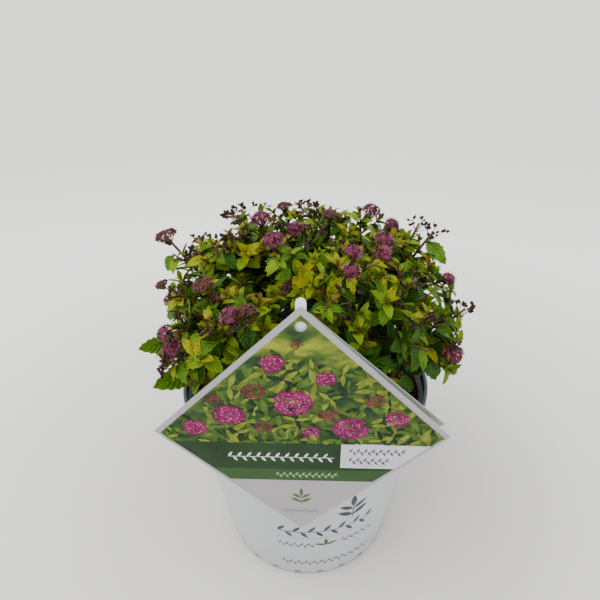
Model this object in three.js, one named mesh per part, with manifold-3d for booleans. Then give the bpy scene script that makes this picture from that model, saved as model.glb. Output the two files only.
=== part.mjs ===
// A young spirea in its nursery pot: a low mound of arching shoots with gold and green
// leaves, open flower heads, closed buds and dry seed heads, and a plant label on the rim.
// Millimetres, +Z up. The origin is the centre of the pot's underside, and the label
// stands at the front, towards -Y.
import * as THREE from "three";
import { mergeVertices } from "three/addons/utils/BufferGeometryUtils.js";
import Module from "manifold-3d";

const wasm = await Module();
wasm.setup();

// ---- Driving dimensions ----------------------------------------------------------

const CLEARANCE = 0.3; // between pieces that touch

const POT = {
  height: 139,
  rimRadius: 85,
  wallTopRadius: 81.5, // outside of the wall, under the lip
  baseRadius: 63.5,
  wall: 1.8,
  floor: 3,
  lipHeight: 8.5,
  footRound: 2,
  segments: 40,
};
const NOTCH = { count: 24, width: 4, height: 2.6, depth: 1.4 };

const COMPOST_TOP = 127;

const STEM = { flareRadius: 12, neckRadius: 8, topRadius: 6.5, height: 17, sides: 10 };

// The crown is a full dome of half axes width, depth and height about its heart, over an
// underside that slopes up and out from the pot's mouth. Leafy shoots end inside it, and
// leaves reach past it by no more than the fringe. Flower and seed heads stand proud of it.
const CROWN = {
  heart: new THREE.Vector3(0, 0, 131),
  halfWidth: 96,
  halfDepth: 92,
  height: 118,
  squareness: 3,
  fringe: 15,
  headFringe: 30,
  skirt: 141, // no leaf hangs lower
  mouth: 64, // the radius where the underside meets the skirt
  slope: 1.05, // of the underside
};

// Boughs leave the stem in rings: how many, and how far they lean from upright.
const BOUGH_RINGS = [
  { count: 3, lean: 20, turn: -75 },
  { count: 5, lean: 47, turn: -54 },
  { count: 7, lean: 71, turn: -116 },
];
const BOUGH = { baseRadius: 2.2, tipRadius: 1.8, arch: 3, reachShare: 0.42, sides: 5, steps: 4 };

const SHOOTS = {
  count: 50,
  lowest: 80,
  spacing: 13,
  headRoom: 8,
  leafyShare: 0.86, // of the crown's reach, the least that a leafy shoot has
  leafySpread: 0.1,
};
const STEM_LENGTH = 16; // of the stem that a mass's shoots leave
const SHOOT = { startRadius: 1.5, endRadius: 1, steps: 2, firstLeaf: 0.15, tuft: 1 };
const SIDE_TWIG = {
  startRadius: 1.1,
  endRadius: 0.9,
  steps: 1,
  firstLeaf: 0.4,
  tuft: 2,
  length: 27,
  spread: 50, // from its shoot, in degrees
  place: 0.6, // along its shoot
  every: 4, // shoots, of which the first has one
  turns: [0, 1.6, 3.1, 4.7], // tried in turn until it has room
};

const LEAF = {
  longest: 40,
  shortest: 27,
  widthShare: 0.56,
  thickness: 0.8,
  widestAt: 0.42,
  fold: 0.09, // rise of the two edges over the midrib, as a share of the length
  droop: 0.16, // fall of the tip
  sink: 0.2, // how far the root lies past the middle of its twig
  pitch: 13.5, // along the twig, from one leaf to the next
  tuftStep: 2.2, // the same in the tuft at its tip
  spread: 58,
  swings: [0, 0.45, -0.45, 0.9, -0.9, 1.5, -1.5, 2.2, -2.2, 3], // tried until it has room
  smaller: [1, 0.8, 0.62],
};
const GOLDEN_ANGLE = Math.PI * (3 - Math.sqrt(5));

// Shoots that end in heads: the compass angle and the lean from upright, in degrees, the
// radius of the head and, where it isn't the usual, how far it stands proud of the crown.
const HEADS = {
  open: [
    [178, 11, 9],
    [-130, 16, 8],
    [-112, 7, 7],
    [30, 24, 9],
    [-24, 24, 8],
    [-56, 22, 6],
    [-40, 26, 7],
    [-65, 27, 6],
    [-4, 29, 6],
    [-118, 38, 8],
    [-141, 52, 9],
    [-29, 60, 9],
    [-5, 47, 6, 7],
  ],
  buds: [
    [174, 37, 9, 18],
    [-138, 34, 8],
    [18, 8, 6],
    [-107, 33, 5],
  ],
  seeds: [
    [137, 25, 9, 6],
    [-163, 17, 8],
    [-153, 23, 8],
    [-166, 31, 5],
    [-153, 39, 6],
    [-126, 42, 8],
    [95, 9, 7],
    [13, 33, 7, 13],
    [6, 37, 9, 15],
    [-30, 34, 8],
    [-12, 54, 8, 12],
    [-36, 46, 8],
    [-78, 35, 8],
  ],
};
const HEAD = { smallRadius: 6.8, proud: 5, sides: 6, rings: 3 };
const HEAD_FORMS = {
  open: { flatness: 0.65, lumps: 0.08 },
  buds: { flatness: 0.5, lumps: 0.08 },
  seeds: { flatness: 0.6, lumps: 0.3 },
};
const HEAD_SHARES = { seeds: 0.4, buds: 0.12, open: 0.2 }; // of the shoots not listed above
const PLENTY = { back: 1, front: 0.3, side: 0.6 }; // how much of those shares each place has
const CROSSING = { leaf: 0.01, twig: 0.35, head: 60 }; // the most that pieces share, mm3

const CARD = {
  halfDiagonal: 78.5,
  thickness: 0.8,
  cornerRound: 1.6,
  centre: new THREE.Vector3(-3.1, -85.7, 166.4),
  turn: -2.4, // about the upright axis, in degrees
  tilt: 1.1, // in its own plane
  holeRadius: 2.5,
  holeDrop: 10.5, // from the top corner to the middle of the hole
};
const TAB = { width: 5, above: 3.7, below: 16, thickness: 0.8 };
const STAKE = {
  lean: 5.1,
  halfDiagonal: 74.5,
  topDrop: 4.9, // all drops from the card's top corner
  aside: 3.5,
  width: 34,
  shoulderDrop: 97,
  length: 143,
  pointLength: 16,
};

const COLOURS = {
  potWhite: 0xe4e6e6,
  compost: 0x1c1a17,
  bark: 0x6d4a2c,
  foliage: [0x8fa51c, 0x6f9418, 0xa9ad20, 0x567f1b],
  card: 0xdedde0,
  cardBack: 0xb9beb6,
  tab: 0xe2e6f0,
};

// ---- Chance, the same on every run -----------------------------------------------

function seeded(seed) {
  let state = seed >>> 0;
  return () => {
    state = (state + 0x6d2b79f5) >>> 0;
    let t = Math.imul(state ^ (state >>> 15), state | 1);
    t ^= t + Math.imul(t ^ (t >>> 7), t | 61);
    return ((t ^ (t >>> 14)) >>> 0) / 4294967296;
  };
}

// ---- Solids ----------------------------------------------------------------------

function solidOf(geometry) {
  geometry.deleteAttribute("normal");
  geometry.deleteAttribute("uv");
  const merged = mergeVertices(geometry, 1e-4);
  return new wasm.Manifold(
    new wasm.Mesh({
      numProp: 3,
      vertProperties: merged.attributes.position.array,
      triVerts: new Uint32Array(merged.index.array),
    }),
  );
}

// The largest body of a solid, without loose scraps and without the walls of sealed hollows.
function largestBody(solid) {
  const bodies = solid.decompose();
  return bodies.reduce((best, body) => (body.volume() > best.volume() ? body : best));
}

function geometryOf(solid) {
  const mesh = solid.getMesh();
  const geometry = new THREE.BufferGeometry();
  geometry.setAttribute("position", new THREE.BufferAttribute(mesh.vertProperties, 3));
  geometry.setIndex(new THREE.BufferAttribute(mesh.triVerts, 1));
  geometry.computeVertexNormals();
  return geometry;
}

function piece(name, geometry, colour, roughness) {
  const material = new THREE.MeshStandardMaterial({ color: colour, roughness, metalness: 0 });
  material.side = THREE.DoubleSide;
  const mesh = new THREE.Mesh(geometry, material);
  mesh.name = name;
  return mesh;
}

// Moves each vertex of a geometry to the place that a function gives for it.
function reshaped(geometry, place) {
  const position = geometry.attributes.position;
  const vertex = new THREE.Vector3();
  for (let i = 0; i < position.count; i++) {
    place(vertex.fromBufferAttribute(position, i));
    position.setXYZ(i, vertex.x, vertex.y, vertex.z);
  }
  return geometry;
}

// A tapering limb: a cylinder of a few sides, bent along a path.
function limb(path, startRadius, endRadius, sides, steps) {
  const frames = path.computeFrenetFrames(steps);
  const cylinder = new THREE.CylinderGeometry(endRadius, startRadius, 1, sides, steps);
  return reshaped(cylinder, (vertex) => {
    const t = vertex.y + 0.5;
    const step = Math.round(t * steps);
    const { x, z } = vertex;
    vertex.copy(path.getPointAt(t));
    vertex.addScaledVector(frames.normals[step], x);
    vertex.addScaledVector(frames.binormals[step], -z);
  });
}

function lathed(profile, segments) {
  const points = profile.map(([radius, height]) => new THREE.Vector2(radius, height));
  const geometry = new THREE.LatheGeometry(points, segments);
  return geometry.rotateX(Math.PI / 2);
}

// ---- Pot, compost and stem -------------------------------------------------------

const wallRadiusAt = (height) =>
  POT.baseRadius +
  ((POT.wallTopRadius - POT.baseRadius) * height) / (POT.height - POT.lipHeight);

function potSolid() {
  const underLip = POT.height - POT.lipHeight;
  const innerTop = POT.wallTopRadius + 0.9;
  const round = 0.7;
  const body = solidOf(
    lathed(
      [
        [0, 0],
        [POT.baseRadius - POT.footRound, 0],
        [wallRadiusAt(POT.footRound), POT.footRound],
        [POT.wallTopRadius, underLip],
        [POT.rimRadius - round, underLip],
        [POT.rimRadius, underLip + round],
        [POT.rimRadius, POT.height - round],
        [POT.rimRadius - round, POT.height],
        [innerTop + round, POT.height],
        [innerTop, POT.height - round],
        [innerTop, underLip + 1],
        [POT.wallTopRadius - POT.wall, underLip - 2],
        [wallRadiusAt(POT.floor) - POT.wall, POT.floor],
        [0, POT.floor],
      ],
      POT.segments,
    ),
  );
  let pot = body;
  for (let i = 0; i < NOTCH.count; i++) {
    const notch = new THREE.BoxGeometry(NOTCH.depth * 2, NOTCH.width, NOTCH.height * 2);
    notch.translate(wallRadiusAt(NOTCH.height), 0, 0);
    notch.rotateZ(((i + 0.5) / NOTCH.count) * 2 * Math.PI);
    pot = pot.subtract(solidOf(notch));
  }
  return pot;
}

function compostSolid(stakeSlot) {
  const inside = (height) => wallRadiusAt(height) - POT.wall - CLEARANCE - 0.2;
  const bottom = POT.floor + CLEARANCE;
  const body = lathed(
    [
      [0, bottom],
      [inside(bottom), bottom],
      [inside(COMPOST_TOP), COMPOST_TOP],
      [0, COMPOST_TOP],
    ],
    POT.segments,
  );
  return solidOf(body).subtract(stakeSlot);
}

function stemGeometry(grow) {
  const foot = COMPOST_TOP + CLEARANCE - grow;
  const top = foot + STEM.height + 2 * grow;
  return lathed(
    [
      [0, foot],
      [STEM.flareRadius + grow, foot],
      [STEM.flareRadius - 2 + grow, foot + 2.5],
      [STEM.neckRadius + grow, foot + 7],
      [STEM.neckRadius - 0.5 + grow, foot + 12],
      [STEM.topRadius + grow, top - 2],
      [STEM.topRadius - 2.5 + grow, top],
      [0, top],
    ],
    STEM.sides,
  );
}

// ---- Label -----------------------------------------------------------------------

// A flat outline in X and Z, given its thickness about Y = 0.
function plate(outline, thickness) {
  const geometry = new THREE.ExtrudeGeometry(outline, {
    depth: thickness,
    bevelEnabled: false,
    curveSegments: 4,
  });
  return geometry.translate(0, 0, -thickness / 2).rotateX(Math.PI / 2);
}

// A closed outline through corner points, each corner rounded off.
function roundedOutline(corners, round) {
  const shape = new THREE.Shape();
  corners.forEach((corner, i) => {
    const before = corners[(i + corners.length - 1) % corners.length];
    const after = corners[(i + 1) % corners.length];
    const start = before.clone().sub(corner).setLength(round).add(corner);
    const end = after.clone().sub(corner).setLength(round).add(corner);
    if (i === 0) shape.moveTo(start.x, start.y);
    else shape.lineTo(start.x, start.y);
    shape.quadraticCurveTo(corner.x, corner.y, end.x, end.y);
  });
  shape.closePath();
  return shape;
}

function cardGeometry() {
  const reach = CARD.halfDiagonal;
  const corners = [
    [0, -reach],
    [reach, 0],
    [0, reach],
    [-reach, 0],
  ].map(([x, y]) => new THREE.Vector2(x, y));
  const outline = roundedOutline(corners, CARD.cornerRound);
  const hole = new THREE.Path();
  hole.absarc(0, reach - CARD.holeDrop, CARD.holeRadius, 0, 2 * Math.PI, true);
  outline.holes.push(hole);
  return plate(outline, CARD.thickness);
}

// The tab is a narrow strip with round ends between the two leaves of the label.
function tabGeometry() {
  const half = TAB.width / 2;
  const top = CARD.halfDiagonal + TAB.above - half;
  const bottom = CARD.halfDiagonal - TAB.below + half;
  const outline = new THREE.Shape();
  outline.absarc(0, top, half, 0, Math.PI, false);
  outline.absarc(0, bottom, half, Math.PI, 2 * Math.PI, false);
  return plate(outline, TAB.thickness);
}

// The rear leaf stands a little lower than the card and to one side of it, and runs down
// into a stake. The card's top corner is the origin.
function stakeGeometry(grow) {
  const reach = STAKE.halfDiagonal + grow;
  const widest = -STAKE.topDrop - STAKE.halfDiagonal;
  const half = STAKE.width / 2 + grow;
  const end = STAKE.length + grow;
  const corners = [
    [0, -end],
    [half, STAKE.pointLength - end],
    [half, -STAKE.shoulderDrop],
    [reach, widest],
    [0, grow * 2 - STAKE.topDrop],
    [-reach, widest],
    [-half, -STAKE.shoulderDrop],
    [-half, STAKE.pointLength - end],
  ].map(([x, y]) => new THREE.Vector2(x + STAKE.aside, y));
  return plate(roundedOutline(corners, CARD.cornerRound), CARD.thickness + 2 * grow);
}

const label = new THREE.Group();
label.position.copy(CARD.centre);
label.rotation.order = "ZYX";
label.rotation.set(
  0,
  THREE.MathUtils.degToRad(CARD.tilt),
  THREE.MathUtils.degToRad(CARD.turn),
);
const tabOffset = (CARD.thickness + TAB.thickness) / 2 + CLEARANCE;
const rearLeaf = new THREE.Group();
const rearOffset = tabOffset + (TAB.thickness + CARD.thickness) / 2 + CLEARANCE + 0.2;
rearLeaf.position.set(0, rearOffset, CARD.halfDiagonal);
rearLeaf.rotation.x = THREE.MathUtils.degToRad(STAKE.lean);
label.add(rearLeaf);
label.updateMatrixWorld(true);

const intoLabel = label.matrixWorld.clone().invert();
const rearSlope = Math.tan(THREE.MathUtils.degToRad(STAKE.lean));

// Whether a point keeps off both leaves of the label by a margin: behind the rear leaf,
// or beside the card's outline.
function clearOfLabel(point, margin) {
  const local = point.clone().applyMatrix4(intoLabel);
  if (Math.abs(local.x) + Math.abs(local.z) > CARD.halfDiagonal + 1.5 * margin) return true;
  const rear = rearOffset + (CARD.halfDiagonal - local.z) * rearSlope;
  return local.y > rear + margin;
}

// ---- The crown's plan ------------------------------------------------------------

// The unit vector at a compass angle and a lean from upright, in degrees.
function heading(compass, lean) {
  const turn = THREE.MathUtils.degToRad(compass);
  const tip = THREE.MathUtils.degToRad(lean);
  return new THREE.Vector3(
    Math.sin(tip) * Math.cos(turn),
    Math.sin(tip) * Math.sin(turn),
    Math.cos(tip),
  );
}

// How far the crown goes from its heart: to its dome, or to its sloping underside.
function crownReach(way) {
  const power = CROWN.squareness;
  const across = Math.hypot(way.x / CROWN.halfWidth, way.y / CROWN.halfDepth);
  const dome = (across ** power + Math.abs(way.z / CROWN.height) ** power) ** (-1 / power);
  const drop = CROWN.slope * Math.hypot(way.x, way.y) - way.z;
  if (drop <= 0) return dome;
  return Math.min(dome, (CROWN.slope * CROWN.mouth - (CROWN.skirt - CROWN.heart.z)) / drop);
}

// The point where a line from the heart leaves the crown, or comes near the label.
function crownPoint(way, share, margin, proud = 0) {
  let distance = crownReach(way) * share + proud;
  const point = new THREE.Vector3();
  do {
    point.copy(CROWN.heart).addScaledVector(way, distance);
    distance -= 2;
  } while (!clearOfLabel(point, margin));
  return point;
}

// The headings of the boughs, ring by ring. Each owns the part of the crown that lies
// nearer its heading than any other.
function boughHeadings() {
  return BOUGH_RINGS.flatMap(({ count, lean, turn }) =>
    Array.from({ length: count }, (_, i) => heading(turn + (i * 360) / count, lean)),
  );
}

function headOf(kind, radius = HEAD.smallRadius, proud = HEAD.proud) {
  return { kind, radius, proud: kind === "leaves" ? 0 : proud };
}

// The headings of the shoots: first those with listed heads, then an even spiral over the
// whole crown that leaves room round them.
function shootHeadings() {
  const shoots = Object.entries(HEADS).flatMap(([kind, rows]) =>
    rows.map(([compass, lean, ...size]) => ({
      way: heading(compass, lean),
      head: headOf(kind, ...size),
    })),
  );
  const random = seeded(7);
  const lowest = Math.cos(THREE.MathUtils.degToRad(SHOOTS.lowest));
  const spacing = THREE.MathUtils.degToRad(SHOOTS.spacing);
  for (let i = 0; i < SHOOTS.count; i++) {
    const lean = Math.acos(1 - ((i + 0.5) / SHOOTS.count) * (1 - lowest));
    const compass = i * GOLDEN_ANGLE;
    const way = heading(THREE.MathUtils.radToDeg(compass), THREE.MathUtils.radToDeg(lean));
    const head = headOf(headKind(random(), way.y > 0 ? PLENTY.back : PLENTY.front));
    if (shoots.every((other) => other.way.angleTo(way) > spacing)) shoots.push({ way, head });
  }
  return shoots;
}

// What a shoot ends in: dry seeds, closed buds, open flowers or only leaves.
function headKind(chance, plenty) {
  const { seeds, buds, open } = HEAD_SHARES;
  if (chance < seeds * plenty) return "seeds";
  if (chance < (seeds + buds) * plenty) return "buds";
  return chance < (seeds + buds + open) * plenty ? "open" : "leaves";
}

// ---- Growth ----------------------------------------------------------------------

// A unit vector at an angle to a limb's own direction, turned round it.
function branchWay(along, spread, turn) {
  const aside = new THREE.Vector3(0, 0, 1).cross(along);
  if (aside.lengthSq() < 1e-4) aside.set(1, 0, 0);
  aside.normalize();
  const above = along.clone().cross(aside);
  const tip = THREE.MathUtils.degToRad(spread);
  return along
    .clone()
    .multiplyScalar(Math.cos(tip))
    .addScaledVector(aside, Math.sin(tip) * Math.cos(turn))
    .addScaledVector(above, Math.sin(tip) * Math.sin(turn));
}

// A leaf: eight faces, folded along its midrib, with its root inside the twig.
function leafGeometry(root, along, twigWay, length) {
  const face = twigWay.clone().add(new THREE.Vector3(0, 0, 0.6));
  face.addScaledVector(along, -face.dot(along)).normalize();
  const across = along.clone().cross(face);
  return reshaped(new THREE.OctahedronGeometry(1), (vertex) => {
    const { x, y, z } = vertex;
    const reach = y > 0.5 ? length : y < -0.5 ? -LEAF.sink : LEAF.widestAt * length;
    const fall = y > 0.5 ? LEAF.droop * length : 0;
    const rise = Math.abs(x) * LEAF.fold * length;
    vertex.copy(root).addScaledVector(along, reach);
    vertex.addScaledVector(across, (x * LEAF.widthShare * length) / 2);
    vertex.addScaledVector(face, (z * LEAF.thickness) / 2 + rise - fall);
  });
}

// A flower head: a low, lumpy dome of florets or seed cases across the tip of its twig.
function headGeometry(centre, up, radius, form) {
  const aside = branchWay(up, 90, 0);
  const ahead = up.clone().cross(aside);
  const sphere = new THREE.SphereGeometry(1, HEAD.sides, HEAD.rings);
  return reshaped(sphere, (vertex) => {
    const { x, y, z } = vertex;
    const swell = radius * (1 + form.lumps * Math.cos(3 * Math.atan2(z, x) + 4 * y));
    vertex.copy(centre).addScaledVector(aside, x * swell);
    vertex.addScaledVector(up, y * radius * form.flatness).addScaledVector(ahead, -z * swell);
  });
}

// Points spread over a geometry's faces: their corners, mid-edges and middles.
function samplesOf(geometry) {
  const position = geometry.attributes.position;
  const index = geometry.index;
  const count = index ? index.count : position.count;
  const corner = (i) => new THREE.Vector3().fromBufferAttribute(position, index ? index.getX(i) : i);
  const samples = [];
  for (let i = 0; i < count; i += 3) {
    const [a, b, c] = [corner(i), corner(i + 1), corner(i + 2)];
    samples.push(a, b.clone().add(a).divideScalar(2), b.clone().add(c).divideScalar(2));
    samples.push(a.clone().add(b).add(c).divideScalar(3));
  }
  return samples;
}

// The space that a bough's foliage keeps to: past its fork, nearer its own heading than
// any other bough's, over the pot's rim, inside the crown and clear of the label.
function ownSpace(axis, axes, fork, onward) {
  const walls = axes
    .filter((other) => other !== axis)
    .map((other) => axis.clone().sub(other).normalize());
  const wallDistance = (point) => {
    const offset = point.clone().sub(CROWN.heart);
    return Math.min(...walls.map((wall) => offset.dot(wall)));
  };
  const holds = (point, margin, fringe = CROWN.fringe) => {
    const offset = point.clone().sub(CROWN.heart);
    const distance = offset.length();
    return (
      wallDistance(point) > margin &&
      point.clone().sub(fork).dot(onward) > CLEARANCE &&
      point.z > CROWN.skirt &&
      distance < crownReach(offset.divideScalar(distance)) + fringe &&
      clearOfLabel(point, margin + 3 * CLEARANCE)
    );
  };
  const holdsShape = (geometry, fringe) =>
    samplesOf(geometry).every((point) => holds(point, CLEARANCE / 2, fringe));
  return { wallDistance, holds, holdsShape };
}

function boughPathOf(axis) {
  const reach = crownPoint(axis, 1, SHOOTS.headRoom).distanceTo(CROWN.heart);
  const start = CROWN.heart.clone().addScaledVector(axis, 4);
  const fork = CROWN.heart.clone().addScaledVector(axis, reach * BOUGH.reachShare);
  const sag = axis.clone().cross(new THREE.Vector3(0, 0, 1)).cross(axis).setLength(BOUGH.arch);
  const bend = start.clone().add(fork).divideScalar(2).sub(sag);
  return new THREE.QuadraticBezierCurve3(start, bend, fork);
}

// The path of a shoot, from the mass's stem to the crown's surface.
function shootPath(way, axis, from, onward, share, proud, space) {
  const bent = way.clone();
  let tip = crownPoint(bent, share, SHOOTS.headRoom, proud);
  while (space.wallDistance(tip) < SHOOTS.headRoom + 1.5) {
    bent.addScaledVector(axis, 0.03).normalize();
    tip = crownPoint(bent, share, SHOOTS.headRoom, proud);
  }
  const reach = tip.distanceTo(from);
  const knee = tip.clone().sub(from).normalize().add(onward).setLength(reach * 0.5).add(from);
  return new THREE.QuadraticBezierCurve3(from, knee, tip);
}

// The point at a share of a twig's length, on the straight stretches that it is made of.
function pointOn(twig, t) {
  const stretch = Math.min(Math.floor(t * twig.steps), twig.steps - 1);
  const start = twig.path.getPointAt(stretch / twig.steps);
  const end = twig.path.getPointAt((stretch + 1) / twig.steps);
  return start.lerp(end, t * twig.steps - stretch);
}

// The mass of foliage at the end of a bough: a stem, shoots and side twigs, then the
// heads at their tips, then the leaves that find room.
function growFoliage(axis, axes, boughPath, shoots, random) {
  const fork = boughPath.getPoint(1);
  const onward = boughPath.getTangent(1);
  const space = ownSpace(axis, axes, fork, onward);
  const stemStart = fork.clone().addScaledVector(onward, CLEARANCE);
  const stemEnd = stemStart.clone().addScaledVector(onward, STEM_LENGTH);
  const stemPath = new THREE.LineCurve3(stemStart, stemEnd);
  let wood = solidOf(limb(stemPath, BOUGH.tipRadius, SHOOT.startRadius, 4, 1));
  const twigs = [];
  const addTwig = (twig) => {
    const { path, startRadius, endRadius, steps } = twig;
    wood = wood.add(solidOf(limb(path, startRadius, endRadius, 3, steps)));
    twigs.push(twig);
  };

  shoots.forEach(({ way, head }, index) => {
    const from = stemPath.getPoint(0.2 + (0.75 * (index + 1)) / shoots.length);
    const spread = SHOOTS.leafySpread * random();
    const share = head.kind === "leaves" ? SHOOTS.leafyShare + spread : 1;
    const path = shootPath(way, axis, from, onward, share, head.proud, space);
    const shoot = { ...SHOOT, path, head };
    addTwig(shoot);

    const turn = random() * 2 * Math.PI;
    const length = SIDE_TWIG.length * (0.8 + 0.4 * random());
    const sideHead = headOf(headKind(random(), PLENTY.side));
    if (index % SIDE_TWIG.every > 0) return;
    const root = pointOn(shoot, SIDE_TWIG.place);
    const side = SIDE_TWIG.turns
      .map((swing) => branchWay(path.getTangentAt(SIDE_TWIG.place), SIDE_TWIG.spread, turn + swing))
      .map((along) => new THREE.LineCurve3(root, root.clone().addScaledVector(along, length)))
      .find((line) => space.holds(line.v2, 4) && space.holds(line.getPoint(0.5), 2));
    if (side) addTwig({ ...SIDE_TWIG, path: side, head: sideHead });
  });

  let soft = null;
  const addIfRoom = (geometry, twigShare, fringe) => {
    if (!space.holdsShape(geometry, fringe)) return false;
    const solid = solidOf(geometry);
    if (wood.intersect(solid).volume() > twigShare) return false;
    if (soft && soft.intersect(solid).volume() > CROSSING.leaf) return false;
    soft = soft ? soft.add(solid) : solid;
    return true;
  };
  const addLeaf = (twig, t, spread, turn, length) => {
    const twigWay = twig.path.getTangentAt(t);
    const root = pointOn(twig, t);
    LEAF.smaller.some((share) =>
      LEAF.swings.some((swing) => {
        const along = branchWay(twigWay, spread, turn + swing);
        return addIfRoom(leafGeometry(root, along, twigWay, length * share), CROSSING.twig);
      }),
    );
  };

  for (const { path, head } of twigs) {
    const tip = path.getPointAt(1);
    const up = path.getTangentAt(1).add(new THREE.Vector3(0, 0, 0.8)).normalize();
    const form = HEAD_FORMS[head.kind];
    if (form) addIfRoom(headGeometry(tip, up, head.radius, form), CROSSING.head, CROWN.headFringe);
  }
  for (const twig of twigs) {
    const length = twig.path.getLength();
    const below = twig.head.kind === "leaves" ? 0.8 : 4;
    const tuftStart = length - below - twig.tuft * LEAF.tuftStep;
    let turn = random() * 2 * Math.PI;
    for (let at = length - below; at > tuftStart + 0.1; at -= LEAF.tuftStep) {
      const size = LEAF.shortest * (0.6 + 0.25 * random());
      addLeaf(twig, at / length, LEAF.spread - 8, turn, size);
      turn += GOLDEN_ANGLE;
    }
    for (let at = twig.firstLeaf * length; at < tuftStart; at += LEAF.pitch) {
      const base = THREE.MathUtils.lerp(LEAF.longest, LEAF.shortest, at / length);
      addLeaf(twig, at / length, LEAF.spread, turn, base * (0.85 + 0.3 * random()));
      turn += GOLDEN_ANGLE;
    }
  }
  return largestBody(wood.add(soft));
}

// ---- Assembly --------------------------------------------------------------------

const plant = new THREE.Group();

const slotShape = stakeGeometry(CLEARANCE).applyMatrix4(rearLeaf.matrixWorld);
plant.add(piece("pot", geometryOf(potSolid()), COLOURS.potWhite, 0.42));
plant.add(
  piece("compost", geometryOf(compostSolid(solidOf(slotShape))), COLOURS.compost, 0.95),
);

plant.add(piece("stem", geometryOf(solidOf(stemGeometry(0))), COLOURS.bark, 0.8));

const axes = boughHeadings();
const shootsOf = axes.map(() => []);
for (const shoot of shootHeadings()) {
  const angles = axes.map((axis) => axis.angleTo(shoot.way));
  shootsOf[angles.indexOf(Math.min(...angles))].push(shoot);
}
const stemRoom = solidOf(stemGeometry(CLEARANCE));
axes.forEach((axis, i) => {
  const number = String(i + 1).padStart(2, "0");
  const path = boughPathOf(axis);
  const bough = solidOf(limb(path, BOUGH.baseRadius, BOUGH.tipRadius, BOUGH.sides, BOUGH.steps));
  const clearBough = largestBody(bough.subtract(stemRoom));
  plant.add(piece("bough_" + number, geometryOf(clearBough), COLOURS.bark, 0.8));
  const foliage = growFoliage(axis, axes, path, shootsOf[i], seeded(300 + i));
  const green = COLOURS.foliage[i % COLOURS.foliage.length];
  plant.add(piece("foliage_" + number, geometryOf(foliage), green, 0.6));
});

label.add(piece("label_front", cardGeometry(), COLOURS.card, 0.35));
const tab = piece("label_tab", tabGeometry(), COLOURS.tab, 0.4);
tab.position.y = tabOffset;
label.add(tab);
rearLeaf.add(piece("label_stake", stakeGeometry(0), COLOURS.cardBack, 0.4));
plant.add(label);

export default plant;
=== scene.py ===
"""A young spirea in a slate nursery pot with a white film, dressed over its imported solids.

The crown grows by the rule of the solids, in millimetres, and goes on from their limbs to
finer twigs, leaves of natural size, florets, buds and seed cases. Every piece is built in
place, in metres, in the solids' own frame.
"""

import functools
import math
from types import SimpleNamespace

import bmesh
import bpy
import numpy as np
from bpy.props import FloatProperty, FloatVectorProperty, IntProperty, PointerProperty
from mathutils import Matrix, Vector, noise


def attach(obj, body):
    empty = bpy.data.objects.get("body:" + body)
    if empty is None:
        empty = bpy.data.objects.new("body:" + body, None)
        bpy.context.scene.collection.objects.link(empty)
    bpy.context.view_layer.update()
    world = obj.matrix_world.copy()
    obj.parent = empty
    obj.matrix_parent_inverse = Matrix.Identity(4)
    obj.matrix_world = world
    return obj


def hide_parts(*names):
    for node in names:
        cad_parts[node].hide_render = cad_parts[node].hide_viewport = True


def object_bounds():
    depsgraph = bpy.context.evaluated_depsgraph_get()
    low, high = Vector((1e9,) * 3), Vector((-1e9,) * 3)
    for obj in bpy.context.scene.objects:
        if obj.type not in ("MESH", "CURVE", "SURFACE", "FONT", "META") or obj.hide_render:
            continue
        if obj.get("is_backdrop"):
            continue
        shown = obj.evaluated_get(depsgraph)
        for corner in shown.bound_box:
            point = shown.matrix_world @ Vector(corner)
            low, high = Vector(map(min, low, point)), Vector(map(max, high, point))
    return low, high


bl_info = {
    "name": "Potted spirea",
    "version": (1, 0, 0),
    "blender": (4, 5, 0),
    "location": "View3D > Sidebar > Spirea",
    "description": "Dresses the packed solids of a potted spirea with leaves, flower heads, "
    "bark, a moulded pot and a printed label",
    "category": "Object",
}

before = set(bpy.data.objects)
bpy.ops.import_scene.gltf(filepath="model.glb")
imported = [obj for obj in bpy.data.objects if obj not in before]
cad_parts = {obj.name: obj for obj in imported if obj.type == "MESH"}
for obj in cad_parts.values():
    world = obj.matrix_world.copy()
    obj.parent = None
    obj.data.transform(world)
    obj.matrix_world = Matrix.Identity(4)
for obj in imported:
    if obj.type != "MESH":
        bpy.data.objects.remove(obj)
CAD_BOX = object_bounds()
CAD_NODES = sorted(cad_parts)
FOLIAGE_NODES = [name for name in CAD_NODES if name.startswith("foliage")]
BOUGH_NODES = [name for name in CAD_NODES if name.startswith("bough")]

# ---- Driving dimensions, in millimetres ----

MM = 0.001
CLEARANCE = 0.3
POT = SimpleNamespace(
    height=139.0, rim_radius=85.0, wall_top_radius=81.5, base_radius=63.5, inner_top=82.4,
    wall=1.8, floor=3.0, lip_height=8.5,
)
NOTCH = SimpleNamespace(
    count=24, height=2.6, depth=1.4, steps=12, film_height=4.6, half_steps=1.2, film_half_steps=1.6
)
COMPOST_TOP = 127.0
STEM_HEIGHT = 17.0
STEM_FLARE = [(0, 12), (2.5, 10), (7, 8), (12, 7.5), (15, 6.5), (STEM_HEIGHT, 4)]  # height, radius

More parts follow.
